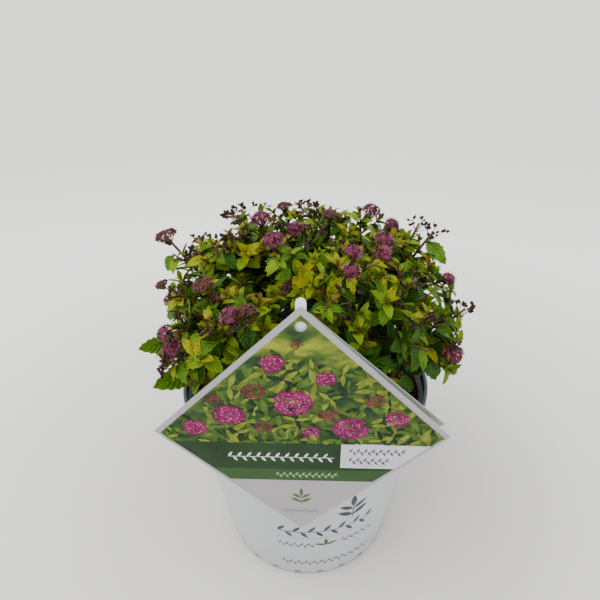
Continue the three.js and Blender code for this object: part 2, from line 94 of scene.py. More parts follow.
HEART = Vector((0, 0, 131))
CROWN = SimpleNamespace(
    half_width=96.0, half_depth=92.0, height=118.0, squareness=3.0, fringe=15.0, top_fringe=7.0,
    skirt=141.0,
    mouth=64.0,  # the radius where the underside meets the skirt
    slope=1.05,  # of the underside
)
BOUGH_RINGS = [(3, 20, -75), (5, 47, -54), (7, 71, -116)]  # count, lean, turn
BOUGH = SimpleNamespace(start=4, base_radius=2.2, tip_radius=1.8, arch=3.0, reach_share=0.42)
SHOOTS = SimpleNamespace(
    count=50, lowest=80, spacing=13, head_room=8.0, wall_room=1.5, bend=0.03, leafy_share=0.86,
    leafy_spread=0.1, first=0.2, stretch=0.75,
)
STEM_LENGTH = 16.0
SHOOT = SimpleNamespace(start_radius=1.5, end_radius=0.75)
SIDE_TWIG = SimpleNamespace(
    length=27.0, spread=50, place=0.6, every=4, start_radius=0.9, end_radius=0.6,
    swings=(0, 1.6, 3.1, 4.7), tip_room=4, middle_room=2,
)
GOLDEN_ANGLE = math.pi * (3 - math.sqrt(5))
PAINTED_LIGHT_SIDE = (-140, 80)  # the compass angle and lean of the side towards the key light, whose leaves are given paler tints: painted light

# Shoots that end in heads: compass angle, lean from upright and radius, and how far a head
# stands proud of the crown where that isn't the usual.
HEADS = {
    "open": [(178, 11, 9), (-130, 16, 8), (-112, 7, 7), (30, 24, 9), (-24, 24, 8), (-56, 22, 6),
             (-40, 26, 7), (-65, 27, 6), (-4, 29, 6), (-118, 38, 8), (-141, 52, 9), (-29, 60, 9),
             (-5, 47, 6, 7)],
    "buds": [(174, 37, 9, 18), (-138, 34, 8), (18, 8, 6), (-107, 33, 5)],
    "seeds": [(137, 25, 9, 6), (-163, 17, 8), (-153, 23, 8), (-166, 31, 5), (-153, 39, 6),
              (-126, 42, 8), (95, 9, 7), (13, 33, 7, 13), (6, 37, 9, 15), (-30, 34, 8),
              (-12, 54, 8, 12), (-36, 46, 8), (-78, 35, 8)],
}
HEAD = SimpleNamespace(small_radius=6.8, proud=5.0)
HEAD_SHARES = SimpleNamespace(seeds=0.4, buds=0.12, open=0.2)
PLENTY = SimpleNamespace(back=1.0, front=0.3, side=0.6)

CARD = SimpleNamespace(
    half_diagonal=78.5, thickness=0.8, centre=Vector((-3.1, -85.7, 166.4)), turn=-2.4, tilt=1.1
)
REAR_LEAF = SimpleNamespace(offset=2.4, lean=5.1)
LABEL_BANDS = SimpleNamespace(
    top=90.0, picture=-6.5, strip=-27.0, foot=-36.0, box_left=21.5, box_foot=-25.0
)

# ---- Chance, the same on every run ----

WORD = 0xFFFFFFFF
SEEDS = SimpleNamespace(
    shoots=7, masses=300, fine_twigs=5000, leaves=77, inner_leaves=991, heads=31, crumbs=9,
    picture=404,
)


def seeded(seed):
    """A stream of even chance from 0 to 1."""
    state = seed & WORD

    def chance():
        nonlocal state
        state = (state + 0x6D2B79F5) & WORD
        t = ((state ^ (state >> 15)) * (state | 1)) & WORD
        t ^= (t + (t ^ (t >> 7)) * (t | 61)) & WORD
        return (t ^ (t >> 14)) / 4294967296

    return chance


# ---- Limbs ----

NUDGE = 0.02  # the share of a path to each side of a place that gives its direction there


class Path:
    """A limb's centreline: a curve from start to tip by way of a knee, read by its length."""

    def __init__(self, start, knee, tip, steps=24):
        t = np.linspace(0, 1, steps + 1)[:, None]
        start, knee, tip = (np.array(p, float) for p in (start, knee, tip))
        self.points = start * (1 - t) ** 2 + knee * 2 * t * (1 - t) + tip * t**2
        reach = np.linalg.norm(np.diff(self.points, axis=0), axis=1)
        self.along = np.concatenate([[0], np.cumsum(reach)])
        self.length = self.along[-1]

    def at(self, share):
        place = share * self.length
        return Vector([np.interp(place, self.along, self.points[:, i]) for i in range(3)])

    def way(self, share):
        before = self.at(max(0, share - NUDGE))
        return (self.at(min(1, share + NUDGE)) - before).normalized()


def line(start, tip):
    return Path(start, (start + tip) / 2, tip)


def heading(compass, lean):
    """The unit vector at a compass angle and a lean from upright, in degrees."""
    turn, tip = math.radians(compass), math.radians(lean)
    return Vector((math.sin(tip) * math.cos(turn), math.sin(tip) * math.sin(turn), math.cos(tip)))


def branch_way(along, spread, turn):
    """A unit vector at an angle to a limb's own direction, turned round it."""
    aside = Vector((0, 0, 1)).cross(along)
    if aside.length_squared < 1e-4:
        aside = Vector((1, 0, 0))
    aside.normalize()
    above = along.cross(aside)
    tip = math.radians(spread)
    side = aside * math.cos(turn) + above * math.sin(turn)
    return along * math.cos(tip) + side * math.sin(tip)


# ---- The crown's plan ----

LABEL_FRAME = (
    Matrix.Translation(CARD.centre)
    @ Matrix.Rotation(math.radians(CARD.turn), 4, "Z")
    @ Matrix.Rotation(math.radians(CARD.tilt), 4, "Y")
)
INTO_LABEL = LABEL_FRAME.inverted()
REAR_SLOPE = math.tan(math.radians(REAR_LEAF.lean))
SIDE_ROOM = 1.5  # how much wider than behind it the room beside the card is
STEP_BACK = 2.0  # by which a shoot is shortened until it is clear of the label


def clear_of_label(point, margin):
    """Whether a point is behind the label's rear leaf or beside its card, by a margin."""
    local = INTO_LABEL @ point
    if abs(local.x) + abs(local.z) > CARD.half_diagonal + SIDE_ROOM * margin:
        return True
    return local.y > REAR_LEAF.offset + (CARD.half_diagonal - local.z) * REAR_SLOPE + margin


def crown_reach(way):
    """How far the crown goes from its heart: to its dome, or to its sloping underside."""
    power = CROWN.squareness
    across = math.hypot(way.x / CROWN.half_width, way.y / CROWN.half_depth)
    dome = (across**power + abs(way.z / CROWN.height) ** power) ** (-1 / power)
    drop = CROWN.slope * math.hypot(way.x, way.y) - way.z
    if drop <= 0:
        return dome
    return min(dome, (CROWN.slope * CROWN.mouth - (CROWN.skirt - HEART.z)) / drop)


def crown_point(way, share, margin, proud=0.0):
    """Where a line from the heart leaves the crown, or comes near the label."""
    distance = crown_reach(way) * share + proud
    while not clear_of_label(HEART + way * distance, margin):
        distance -= STEP_BACK
    return HEART + way * distance


def head_of(kind, radius=HEAD.small_radius, proud=HEAD.proud):
    return SimpleNamespace(kind=kind, radius=radius, proud=0.0 if kind == "leaves" else proud)


def head_kind(chance, plenty):
    """What a shoot ends in: dry seeds, closed buds, open flowers or only leaves."""
    edge = 0.0
    for kind in ("seeds", "buds", "open"):
        edge += getattr(HEAD_SHARES, kind) * plenty
        if chance < edge:
            return kind
    return "leaves"


def shoot_headings():
    """The shoots with named heads, then an even spiral over the crown round them."""
    shoots = [
        (heading(compass, lean), head_of(kind, *size))
        for kind, rows in HEADS.items()
        for compass, lean, *size in rows
    ]
    chance = seeded(SEEDS.shoots)
    lowest = math.cos(math.radians(SHOOTS.lowest))
    for i in range(SHOOTS.count):
        lean = math.acos(1 - (i + 0.5) / SHOOTS.count * (1 - lowest))
        way = heading(math.degrees(i * GOLDEN_ANGLE), math.degrees(lean))
        head = head_of(head_kind(chance(), PLENTY.back if way.y > 0 else PLENTY.front))
        if all(other.angle(way) > math.radians(SHOOTS.spacing) for other, _ in shoots):
            shoots.append((way, head))
    return shoots


class Space:
    """The room of one bough's foliage: past its fork and nearer its heading than another."""

    def __init__(self, axis, axes, fork, onward):
        self.walls = [(axis - other).normalized() for other in axes if other is not axis]
        self.fork, self.onward = fork, onward

    def wall_distance(self, point):
        return min((point - HEART).dot(wall) for wall in self.walls)

    def holds(self, point, margin):
        return (
            self.wall_distance(point) > margin
            and (point - self.fork).dot(self.onward) > CLEARANCE
            and in_crown(point, margin)
        )


def in_crown(point, margin, leafy=False):
    """Whether a point is in the crown. Leaves stay closer in towards the top than low down."""
    offset = point - HEART
    way = offset.normalized()
    fringe = CROWN.fringe
    if leafy:
        fringe = CROWN.top_fringe + (fringe - CROWN.top_fringe) * (1 - way.z)
    return (
        point.z > CROWN.skirt
        and offset.length < crown_reach(way) + fringe
        and clear_of_label(point, margin + 3 * CLEARANCE)
    )


def bough_path(axis):
    reach = (crown_point(axis, 1, SHOOTS.head_room) - HEART).length
    start, fork = HEART + axis * BOUGH.start, HEART + axis * reach * BOUGH.reach_share
    sag = axis.cross(Vector((0, 0, 1))).cross(axis).normalized() * BOUGH.arch
    return Path(start, (start + fork) / 2 - sag, fork)


def shoot_path(way, axis, start, onward, share, proud, space):
    """The path of a shoot, from the mass's stem to the crown's surface."""
    tip = crown_point(way, share, SHOOTS.head_room, proud)
    while space.wall_distance(tip) < SHOOTS.head_room + SHOOTS.wall_room:
        way = (way + axis * SHOOTS.bend).normalized()
        tip = crown_point(way, share, SHOOTS.head_room, proud)
    reach = (tip - start).length
    knee = start + ((tip - start).normalized() + onward).normalized() * reach * 0.5
    return Path(start, knee, tip)


# ---- Growth ----

FINE = SimpleNamespace(
    pitch=8.5,  # along a shoot, from one fine twig to the next
    first=0.16, last=0.93, spread=46, swing=16, longest=34.0, shortest=15.0, rise=0.18,
    tries=4, shortening=0.75, start_radius=0.85, end_radius=0.45, steps=8, margin=3.0,
    seeds=0.07, buds=0.02,  # the shares that end in small heads
)


def twig_of(path, start_radius, end_radius, head, order):
    return SimpleNamespace(
        path=path, start_radius=start_radius, end_radius=end_radius, head=head, order=order
    )


def fine_twigs(shoot, chance):
    """The twigs that a shoot carries beyond those of the solids."""
    twigs = []
    turn = chance() * 2 * math.pi
    place = FINE.first * shoot.path.length
    while place < FINE.last * shoot.path.length:
        share = place / shoot.path.length
        length = FINE.longest + (FINE.shortest - FINE.longest) * share
        length *= 0.8 + 0.45 * chance()
        end = chance()
        kind = "seeds" if end < FINE.seeds else "buds" if end < FINE.seeds + FINE.buds else "leaves"
        root, along = shoot.path.at(share), shoot.path.way(share)
        way = branch_way(along, FINE.spread + FINE.swing * (chance() - 0.5), turn)
        for _ in range(FINE.tries):
            knee = root + way * length * 0.5
            tip = root + way * length + Vector((0, 0, FINE.rise * length))
            if all(in_crown(point, FINE.margin, leafy=True) for point in (knee, tip)):
                head = head_of(kind, HEAD.small_radius * (0.7 + 0.3 * chance()))
                path = Path(root, knee, tip, FINE.steps)
                twigs.append(twig_of(path, FINE.start_radius, FINE.end_radius, head, 2))
                break
            length *= FINE.shortening
        turn += GOLDEN_ANGLE
        place += FINE.pitch * (0.8 + 0.4 * chance())
    return twigs


def mass_of(axis, axes, bough, shoots, chance, fine_chance):
    """One bough's twigs: its stem, shoots and side twigs, then the finer twigs on them."""
    fork, onward = bough.at(1), bough.way(1)
    space = Space(axis, axes, fork, onward)
    stem_end = fork + onward * STEM_LENGTH
    stem = line(fork, stem_end)
    twigs = [twig_of(stem, BOUGH.tip_radius, SHOOT.start_radius, head_of("leaves"), 0)]
    for index, (way, head) in enumerate(shoots):
        start = stem.at(SHOOTS.first + SHOOTS.stretch * (index + 1) / len(shoots))
        spread = SHOOTS.leafy_spread * chance()
        share = SHOOTS.leafy_share + spread if head.kind == "leaves" else 1
        path = shoot_path(way, axis, start, onward, share, head.proud, space)
        shoot = twig_of(path, SHOOT.start_radius, SHOOT.end_radius, head, 1)
        twigs.append(shoot)
        turn = chance() * 2 * math.pi
        length = SIDE_TWIG.length * (0.8 + 0.4 * chance())
        side_head = head_of(head_kind(chance(), PLENTY.side))
        twigs += fine_twigs(shoot, fine_chance)
        if index % SIDE_TWIG.every > 0:
            continue
        root, along = path.at(SIDE_TWIG.place), path.way(SIDE_TWIG.place)
        for swing in SIDE_TWIG.swings:
            tip = root + branch_way(along, SIDE_TWIG.spread, turn + swing) * length
            middle = (root + tip) / 2
            if space.holds(tip, SIDE_TWIG.tip_room) and space.holds(middle, SIDE_TWIG.middle_room):
                radii = SIDE_TWIG.start_radius, SIDE_TWIG.end_radius
                twigs.append(twig_of(line(root, tip), *radii, side_head, 2))
                break
    return twigs


@functools.cache
def crown():
    """The boughs and all the twigs of the crown."""
    axes = [
        heading(turn + i * 360 / count, lean)
        for count, lean, turn in BOUGH_RINGS
        for i in range(count)
    ]
    shoots_of = [[] for _ in axes]
    for way, head in shoot_headings():
        angles = [axis.angle(way) for axis in axes]
        shoots_of[angles.index(min(angles))].append((way, head))
    boughs = [bough_path(axis) for axis in axes]
    twigs = []
    for i, axis in enumerate(axes):
        chances = seeded(SEEDS.masses + i), seeded(SEEDS.fine_twigs + i)
        twigs += mass_of(axis, axes, boughs[i], shoots_of[i], *chances)
    return SimpleNamespace(boughs=boughs, twigs=twigs)


# ---- Meshes from templates and arrays ----


def linear(hex_colour):
    """An sRGB hex colour as linear red, green, blue and alpha."""
    tones = [int(hex_colour[i : i + 2], 16) / 255 for i in (1, 3, 5)]
    return tuple(c / 12.92 if c <= 0.04045 else ((c + 0.055) / 1.055) ** 2.4 for c in tones) + (1,)


def arrays_of(bm):
    """A bmesh as arrays of points, triangles and map coordinates, which frees the bmesh."""
    bmesh.ops.triangulate(bm, faces=bm.faces)
    layer = bm.loops.layers.uv.active
    bm.verts.index_update()
    points = np.array([v.co for v in bm.verts])
    faces = np.array([[v.index for v in face.verts] for face in bm.faces])
    uvs = np.zeros((len(faces), 3, 2))
    if layer:
        uvs = np.array([[loop[layer].uv for loop in face.loops] for face in bm.faces])
    bm.free()
    return SimpleNamespace(points=points, faces=faces, uvs=uvs)


def copies_of(template, places):
    """Copies of a template, each at a place: a root and its across, along and face arms."""
    places = np.array(places, float)
    points = places[:, None, 0] + np.einsum("pk,nkc->npc", template.points, places[:, 1:])
    steps = np.arange(len(places))[:, None, None] * len(template.points)
    faces = (template.faces[None] + steps).reshape(-1, 3)
    uvs = np.tile(template.uvs, (len(places), 1, 1))
    return SimpleNamespace(points=points.reshape(-1, 3), faces=faces, uvs=uvs)


def together(parts):
    """Several arrays of points, triangles and map coordinates as one."""
    starts = np.cumsum([0] + [len(part.points) for part in parts[:-1]])
    return SimpleNamespace(
        points=np.concatenate([part.points for part in parts]),
        faces=np.concatenate([part.faces + start for part, start in zip(parts, starts)]),
        uvs=np.concatenate([part.uvs for part in parts]),
    )


def fill_mesh(mesh, arrays):
    """Fills a mesh in metres from arrays in millimetres."""
    count = len(arrays.faces)
    mesh.vertices.add(len(arrays.points))
    mesh.vertices.foreach_set("co", (arrays.points * MM).astype(np.float32).ravel())
    mesh.loops.add(count * 3)
    mesh.loops.foreach_set("vertex_index", arrays.faces.astype(np.int32).ravel())
    mesh.polygons.add(count)
    mesh.polygons.foreach_set("loop_start", np.arange(count, dtype=np.int32) * 3)
    mesh.polygons.foreach_set("use_smooth", np.full(count, True))
    mesh.uv_layers.new(name="UVMap")
    mesh.uv_layers["UVMap"].data.foreach_set("uv", arrays.uvs.astype(np.float32).ravel())
    mesh.update(calc_edges=True)


def piece(name, shape, slot, *materials, nodes=(), smooth=True):
    """A piece in metres from arrays or a bmesh in millimetres, and the solids it stands for."""
    mesh = bpy.data.meshes.new(name)
    if isinstance(shape, bmesh.types.BMesh):
        bmesh.ops.scale(shape, vec=(MM, MM, MM), verts=shape.verts)
        for face in shape.faces:
            face.smooth = smooth
        shape.to_mesh(mesh)
        shape.free()
    else:
        fill_mesh(mesh, shape)
    for material in materials:
        mesh.materials.append(material)
    obj = bpy.data.objects.new(name, mesh)
    bpy.context.scene.collection.objects.link(obj)
    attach(obj, "root")
    if nodes:
        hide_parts(*nodes)
    return obj


def limb_arrays(path, start_radius, end_radius, sides, steps, relief=None):
    """A tapering limb of a few sides along a path, closed at both ends."""
    shares = np.linspace(0, 1, steps + 1)
    centres = np.array([path.at(share) for share in shares])
    ways = np.array([path.way(share) for share in shares])
    aside = np.cross(ways, ways[0] + np.array([0.31, 0.17, 0.9]))
    aside /= np.linalg.norm(aside, axis=1)[:, None]
    above = np.cross(ways, aside)
    turns = np.arange(sides) / sides * 2 * math.pi
    radii = start_radius + (end_radius - start_radius) * shares[:, None] * np.ones(sides)
    if relief is not None:
        radii = radii + relief(turns[None], shares[:, None] * path.length)
    across = np.cos(turns)[None, :, None] * aside[:, None]
    upward = np.sin(turns)[None, :, None] * above[:, None]
    rings = centres[:, None] + radii[..., None] * (across + upward)
    points = np.concatenate([rings.reshape(-1, 3), centres[[0]], centres[[-1]]])
    step, side = np.divmod(np.arange(steps * sides), sides)
    near, far = step * sides + side, step * sides + (side + 1) % sides
    walls = [np.stack([near, far, far + sides], 1), np.stack([near, far + sides, near + sides], 1)]
    first, last = np.arange(sides), steps * sides + np.arange(sides)
    start_cap = np.stack([np.roll(first, -1), first, np.full(sides, len(points) - 2)], 1)
    end_cap = np.stack([last, np.roll(last, -1), np.full(sides, len(points) - 1)], 1)
    faces = np.concatenate([*walls, start_cap, end_cap])
    return SimpleNamespace(points=points, faces=faces, uvs=np.zeros((len(faces), 3, 2)))


def bark_relief(depth):
    """Low ridges along a limb, broken by the small raised pores of young bark."""

    def relief(turns, along):
        ridges = np.sin(turns * 5 + 0.35 * along) + 0.6 * np.sin(turns * 3 - 0.22 * along + 1)
        pores = np.maximum(0, np.sin(turns * 4 + 2.4 * along) * np.sin(0.9 * along + turns) - 0.75)
        return depth * (0.3 * ridges + 2.4 * pores)

    return relief


# ---- Leaves, florets, buds and seed cases, one unit long or wide ----

BLADE = SimpleNamespace(
    petiole=0.07, length=0.93, belly=0.72, fullness=0.8, stalk_half=0.012, tip_half=0.002
)
TOOTH = SimpleNamespace(first=0.2, forward=0.035)
PETAL = SimpleNamespace(root=0.12, half=0.36, end_half=0.16, cup=0.3, curl=1.9)
STAMEN = SimpleNamespace(root_radius=0.035, tip_radius=0.025, anther=0.1, lean=38)


def leaf_template(rows, width, teeth, fold, droop, twist):
    """A leaf one unit long from its root along Y, its upper side towards Z."""
    bm = bmesh.new()
    bmesh.ops.create_grid(bm, x_segments=2, y_segments=rows, size=0.5)
    layer = bm.loops.layers.uv.new("UVMap")
    for face in bm.faces:
        for loop in face.loops:
            loop[layer].uv = loop.vert.co.x + 0.5, loop.vert.co.y + 0.5
    for vert in bm.verts:
        side, along = vert.co.x * 2, vert.co.y + 0.5
        row = round(along * rows)
        inner = 0 < row < rows
        blade = max(0, (along - BLADE.petiole) / BLADE.length)
        swell = math.sin(math.pi * blade**BLADE.belly) ** BLADE.fullness if inner else 0
        half = max(0.5 * width * swell, BLADE.stalk_half if row < rows else BLADE.tip_half)
        if row % 2 and along > TOOTH.first:
            half *= 1 - teeth
        lift = fold * half * abs(side) - droop * along**2
        turn = twist * along
        x, z = side * half * math.cos(turn), lift + side * half * math.sin(turn)
        vert.co = x, along + (TOOTH.forward * abs(side) if row % 2 == 0 and inner else 0), z
    bmesh.ops.remove_doubles(bm, verts=bm.verts, dist=0.001)
    return arrays_of(bm)


def whole(bm):
    return bm.verts[:] + bm.edges[:] + bm.faces[:]


def five_round(bm):
    """Repeats a bmesh five times round Z, and hands it over as arrays."""
    bmesh.ops.spin(
        bm, geom=whole(bm), axis=(0, 0, 1), cent=(0, 0, 0), steps=4, angle=math.pi * 1.6,
        use_duplicate=True,
    )
    return arrays_of(bm)


def petal_ring():
    """Five cupped petals, one unit from the middle to their tips, facing Z."""
    bm = bmesh.new()
    bmesh.ops.create_grid(bm, x_segments=1, y_segments=2, size=0.5)
    for vert in bm.verts:
        side, along = vert.co.x * 2, vert.co.y + 0.5
        half = PETAL.half if abs(along - 0.5) < 0.1 else PETAL.end_half
        reach = PETAL.root + (1 - PETAL.root) * along
        vert.co = side * half, reach, PETAL.cup * math.sin(along * PETAL.curl)
    return five_round(bm)


def stamen_ring():
    """Five fine stamens with small anthers, one unit long, leaning outwards from Z."""
    bm = bmesh.new()
    bmesh.ops.create_cone(
        bm, segments=3, radius1=STAMEN.root_radius, radius2=STAMEN.tip_radius, depth=1
    )
    bmesh.ops.translate(bm, vec=(0, 0, 0.5), verts=bm.verts)
    tip = Matrix.Translation((0, 0, 1))
    bmesh.ops.create_uvsphere(bm, u_segments=4, v_segments=2, radius=STAMEN.anther, matrix=tip)
    lean = Matrix.Rotation(math.radians(STAMEN.lean), 3, "X")
    bmesh.ops.rotate(bm, cent=(0, 0, 0), matrix=lean, verts=bm.verts)
    return five_round(bm)


def round_template(pointed):
    """A bud or seed case of one unit's radius, drawn to a point by a share."""
    bm = bmesh.new()
    bmesh.ops.create_icosphere(bm, subdivisions=1, radius=1)
    for vert in bm.verts:
        if vert.co.z > 0.9:
            vert.co.z += pointed
    return arrays_of(bm)


def facing(root, normal, size, turn):
    """A place for a copy at a root that faces a way, turned round it."""
    across = branch_way(normal, 90, turn)
    return root, across * size, normal.cross(across) * size, normal * size


def any_way(chance):
    """A vector of chance, up to half a unit each way."""
    return Vector((chance() - 0.5, chance() - 0.5, chance() - 0.5))


# ---- The sprays of leaves ----

# Each form's varieties: rows of teeth, width, depth of teeth, fold, droop and twist.
LEAF_FORMS = {
    "broad": [(12, 0.57, 0.13, 0.3, 0.16, 0.0), (12, 0.63, 0.14, 0.5, 0.26, 0.25),
              (14, 0.51, 0.14, 0.15, 0.05, -0.3)],
    "slim": [(8, 0.42, 0.1, 0.5, 0.12, 0.0), (8, 0.47, 0.1, 0.35, 0.3, 0.2)],
}
TINTS = ("gold", "lime", "green", "deep", "bronze")
GOLD, LIME, GREEN, DEEP, BRONZE = range(5)

# The leaves along a shoot and along a finer twig: their lengths from its foot to its end, the
# share that is bare at its foot, how much its head leaves bare, and where the tuft starts.
SPRAYS = {
    1: SimpleNamespace(longest=21, shortest=13, first=0.3, bare=9.0, tuft=6.0),
    2: SimpleNamespace(longest=17, shortest=9, first=0.14, bare=6.0, tuft=3.0),
}
HEADLESS = SimpleNamespace(bare=6.0, tuft=0.5)
LEAF_ROOM = 1.0  # between a leaf and what it must not touch
TO_LIGHT, TO_FRONT = Vector((0, 0, 0.6)), Vector((0, -1, 0.4))  # pulls on the way a leaf faces
LEAF = SimpleNamespace(
    pitch=3.8, spread=50, swing=18, shaded_foot=0.6, bronze=0.005,
    top_size=0.77, skirt_growth=0.84,  # leaves are larger low down
)
TUFT = SimpleNamespace(
    count=8, under_head=5, pitch=0.75, first=4.5, growth=0.9, spread=22, opening=5.5, younger=0.42,
    bronze=0.04, top_size=0.86, skirt_growth=0.81,
)
# The leaves that reach furthest: the place of the tip, the length and the tint.
FAR_LEAVES = [
    ((-97, -37, 190), 19, GREEN), ((-90, -44, 167), 28, GREEN), ((100, -28, 156), 24, GREEN),
    ((81, -42, 163), 21, DEEP), ((74, -43, 180), 27, DEEP), ((-88, 5, 219), 15, GREEN),
    ((-81, -32, 211), 13, DEEP), ((89, -3, 224), 19, GREEN),
]
INNER_LEAVES = SimpleNamespace(count=12, length=19.0, spread=62, deep=0.6)
# Where the crown stays open to the compost: a place and a reach.
OPENINGS = [(Vector((75, -32, 148)), 15.0), (Vector((66, -44, 150)), 12.0),
            (Vector((70, -52, 168)), 12.0)]


def leaf_place(root, along, twig_way, length):
    face = twig_way + TO_LIGHT
    face = (face - along * face.dot(along)).normalized()
    return root, along.cross(face) * length, along * length, face * length


def twig_leaf(path, share, spread, turn, size):
    """The place of a leaf at a share of a path, spread from it and turned round it."""
    way = path.way(share)
    return leaf_place(path.at(share), branch_way(way, spread, turn), way, size)


def spray_tint(chance, depth, lean, sun):
    """The tint of a spray: golder on the side towards the key light, deeper inside and low down.
    This is partly the leaves' own colour, young ones golder and old ones deeper, and partly painted
    light and painted shade.
    """
    # How lit the spray counts as, used as painted light and painted shade: more at the top, near
    # the surface and towards the key light.
    light = 1 - 0.5 * lean - 0.5 * depth + 0.35 * sun
    gold = 0.06 + 0.14 * light - 0.05 * sun
    if chance < gold:
        return GOLD
    if chance < gold + 0.42 + 0.35 * sun:
        return LIME
    return GREEN if chance < 0.95 - 0.25 * depth else DEEP


def leaves_of(twig, chance, grow):
    """Hands each leaf of a twig to grow: its form, tint and place."""
    if twig.order == 0:
        return
    path, length, spray = twig.path, twig.path.length, SPRAYS[twig.order]
    headed = twig.head.kind != "leaves"
    end = spray if headed else HEADLESS
    # How deep inside, how low and how far towards the key light the spray's end lies. Its tint
    # follows these, partly as the leaves' age and partly as painted shade and painted light.
    offset = path.at(1) - HEART
    depth = max(0, 1 - offset.length / crown_reach(offset.normalized())) * 2
    lean = 1 - offset.normalized().z
    sun = max(0, offset.normalized().dot(heading(*PAINTED_LIGHT_SIDE)))
    tint = spray_tint(chance(), depth, lean, sun)
    turn = chance() * 2 * math.pi
    at = length * spray.first
    while at < length - end.bare:
        share = at / length
        size = spray.longest + (spray.shortest - spray.longest) * share
        size *= 0.82 + 0.36 * chance()
        size *= LEAF.top_size + LEAF.skirt_growth * lean
        # A leaf one step darker, for age and for painted shade: more often low down, less often on
        # the side towards the key light.
        aged_and_painted_shade = chance() < 0.15 + 0.35 * lean - 0.3 * sun
        tone_with_age_and_painted_shade = min(DEEP, tint + (share < LEAF.shaded_foot) + aged_and_painted_shade)
        tone = BRONZE if chance() < LEAF.bronze else tone_with_age_and_painted_shade
        spread = LEAF.spread + LEAF.swing * chance()
        grow("broad", tone, twig_leaf(path, share, spread, turn, size))
        turn += GOLDEN_ANGLE
        at += LEAF.pitch * (0.8 + 0.4 * chance())
    for i in range(TUFT.under_head if headed else TUFT.count):
        share = 1 - (end.tuft + TUFT.pitch * i) / length
        size = (TUFT.first + TUFT.growth * i) * (0.85 + 0.3 * chance())
        size *= TUFT.top_size + TUFT.skirt_growth * lean
        young = max(GOLD, min(GREEN, tint) - (chance() < TUFT.younger))
        tone = BRONZE if chance() < TUFT.bronze else young
        grow("slim", tone, twig_leaf(path, share, TUFT.spread + TUFT.opening * i, turn, size))
        turn += GOLDEN_ANGLE


def inner_leaves(path, chance, grow):
    """The old leaves on a bough or a mass's stem, which close the crown's heart."""
    turn = chance() * 2 * math.pi
    for i in range(INNER_LEAVES.count):
        share = (i + 0.5) / INNER_LEAVES.count
        size = INNER_LEAVES.length * (0.85 + 0.3 * chance())
        tone = DEEP if chance() < INNER_LEAVES.deep else GREEN
        grow("broad", tone, twig_leaf(path, share, INNER_LEAVES.spread, turn, size))
        turn += GOLDEN_ANGLE


@functools.cache
def leaf_places():
    """The places of the leaves, by tint, form and variety."""
    places = {}
    chance = seeded(SEEDS.leaves)

    def grow(form, tone, place):
        points = [place[0] + place[2] * share for share in (0.5, 1)]
        if not all(in_crown(point, LEAF_ROOM, leafy=True) for point in points):
            return
        if any((point - middle).length < reach for middle, reach in OPENINGS for point in points):
            return
        variety = int(chance() * len(LEAF_FORMS[form]))
        places.setdefault((TINTS[tone], form, variety), []).append(place)

    for twig in crown().twigs:
        leaves_of(twig, chance, grow)
    chance = seeded(SEEDS.inner_leaves)
    stems = [twig.path for twig in crown().twigs if twig.order == 0]
    for path in crown().boughs + stems:
        inner_leaves(path, chance, grow)
    for tip, length, tone in FAR_LEAVES:
        root = root_for(Vector(tip), length)
        reach = Vector(tip) - root
        place = leaf_place(root, reach.normalized(), TO_FRONT, reach.length)
        places.setdefault((TINTS[tone], "broad", 0), []).append(place)
    return places


def root_for(tip, length):
    """The point on a twig that lies nearest to a leaf's length from its tip."""
    spots = [
        twig.path.at(share)
        for twig in crown().twigs
        if twig.order
        for share in (0.3, 0.5, 0.7, 0.9)
    ]
    return min(spots, key=lambda spot: abs((spot - tip).length - length))


# ---- Flower heads ----

# Of an open head and a bud head: how far under its tip the stalks fork and how wide its dome is,
# as shares of its radius, its flatness, its parts for each millimetre of radius, and the share of
# them whose stalk shows.
DOMES = {
    "open": SimpleNamespace(foot=0.9, width=0.61, flatness=0.85, plenty=13, stalks=0.35),
    "buds": SimpleNamespace(foot=0.8, width=0.68, flatness=0.4, plenty=17, stalks=0.3),
}
DOME = SimpleNamespace(cover=1.12, stray=0.5, lumps=3, lump_turn=2, lump=0.14)
FLORET = SimpleNamespace(size=1.0, closed_size=0.62, stray=0.7, closed=0.3, stamens=0.5, reach=1.5)
SEED_HEAD = SimpleNamespace(foot=0.9, rays=5, cases=3, spread=18, case_spread=20)
HEAD_LIFT = Vector((0, 0, 0.8))  # the pull that turns a head upwards


def dome_points(kind, tip, up, radius, chance, parts):
    """Points spread over a low dome across a twig's tip, each with its outward way."""
    dome = DOMES[kind]
    foot = tip - up * radius * dome.foot
    radius *= dome.width
    aside = branch_way(up, 90, 0)
    ahead = up.cross(aside)
    count = int(dome.plenty * radius)
    for i in range(count):
        lean = math.acos(1 - (i + 0.5) / count * DOME.cover)
        turn = i * GOLDEN_ANGLE + DOME.stray * chance()
        lumps = 1 + DOME.lump * math.sin(DOME.lumps * turn + DOME.lump_turn) * math.sin(lean)
        flat = math.sin(lean) * radius * lumps
        side = aside * math.cos(turn) * flat + ahead * math.sin(turn) * flat
        rise = up * math.cos(lean) * radius * dome.flatness
        point = tip + side + rise
        yield point, (side + rise / dome.flatness**2).normalized()
        if chance() < dome.stalks:
            parts["stalks"].append(line(foot, point))


def open_head(tip, up, radius, chance, parts):
    """A dome of florets, some still in bud, with long stamens."""
    for point, out in dome_points("open", tip, up, radius, chance, parts):
        size = FLORET.size + 0.35 * chance()
        way = (out + any_way(chance) * FLORET.stray).normalized()
        if chance() < FLORET.closed:
            bud = FLORET.closed_size + 0.2 * chance()
            parts["flower_buds"].append(facing(point, way, bud, 0))
            continue
        parts["petals"].append(facing(point, way, size, chance() * 6))
        if chance() < FLORET.stamens:
            parts["stamens"].append(facing(point, way, size * FLORET.reach, chance() * 6))


def bud_head(tip, up, radius, chance, parts):
    """A flat cluster of closed, dusky buds on fine stalks."""
    for point, out in dome_points("buds", tip, up, radius, chance, parts):
        point += out * 0.8 * chance()
        parts["dusky_buds"].append(facing(point, out, 0.6 + 0.35 * chance(), 0))


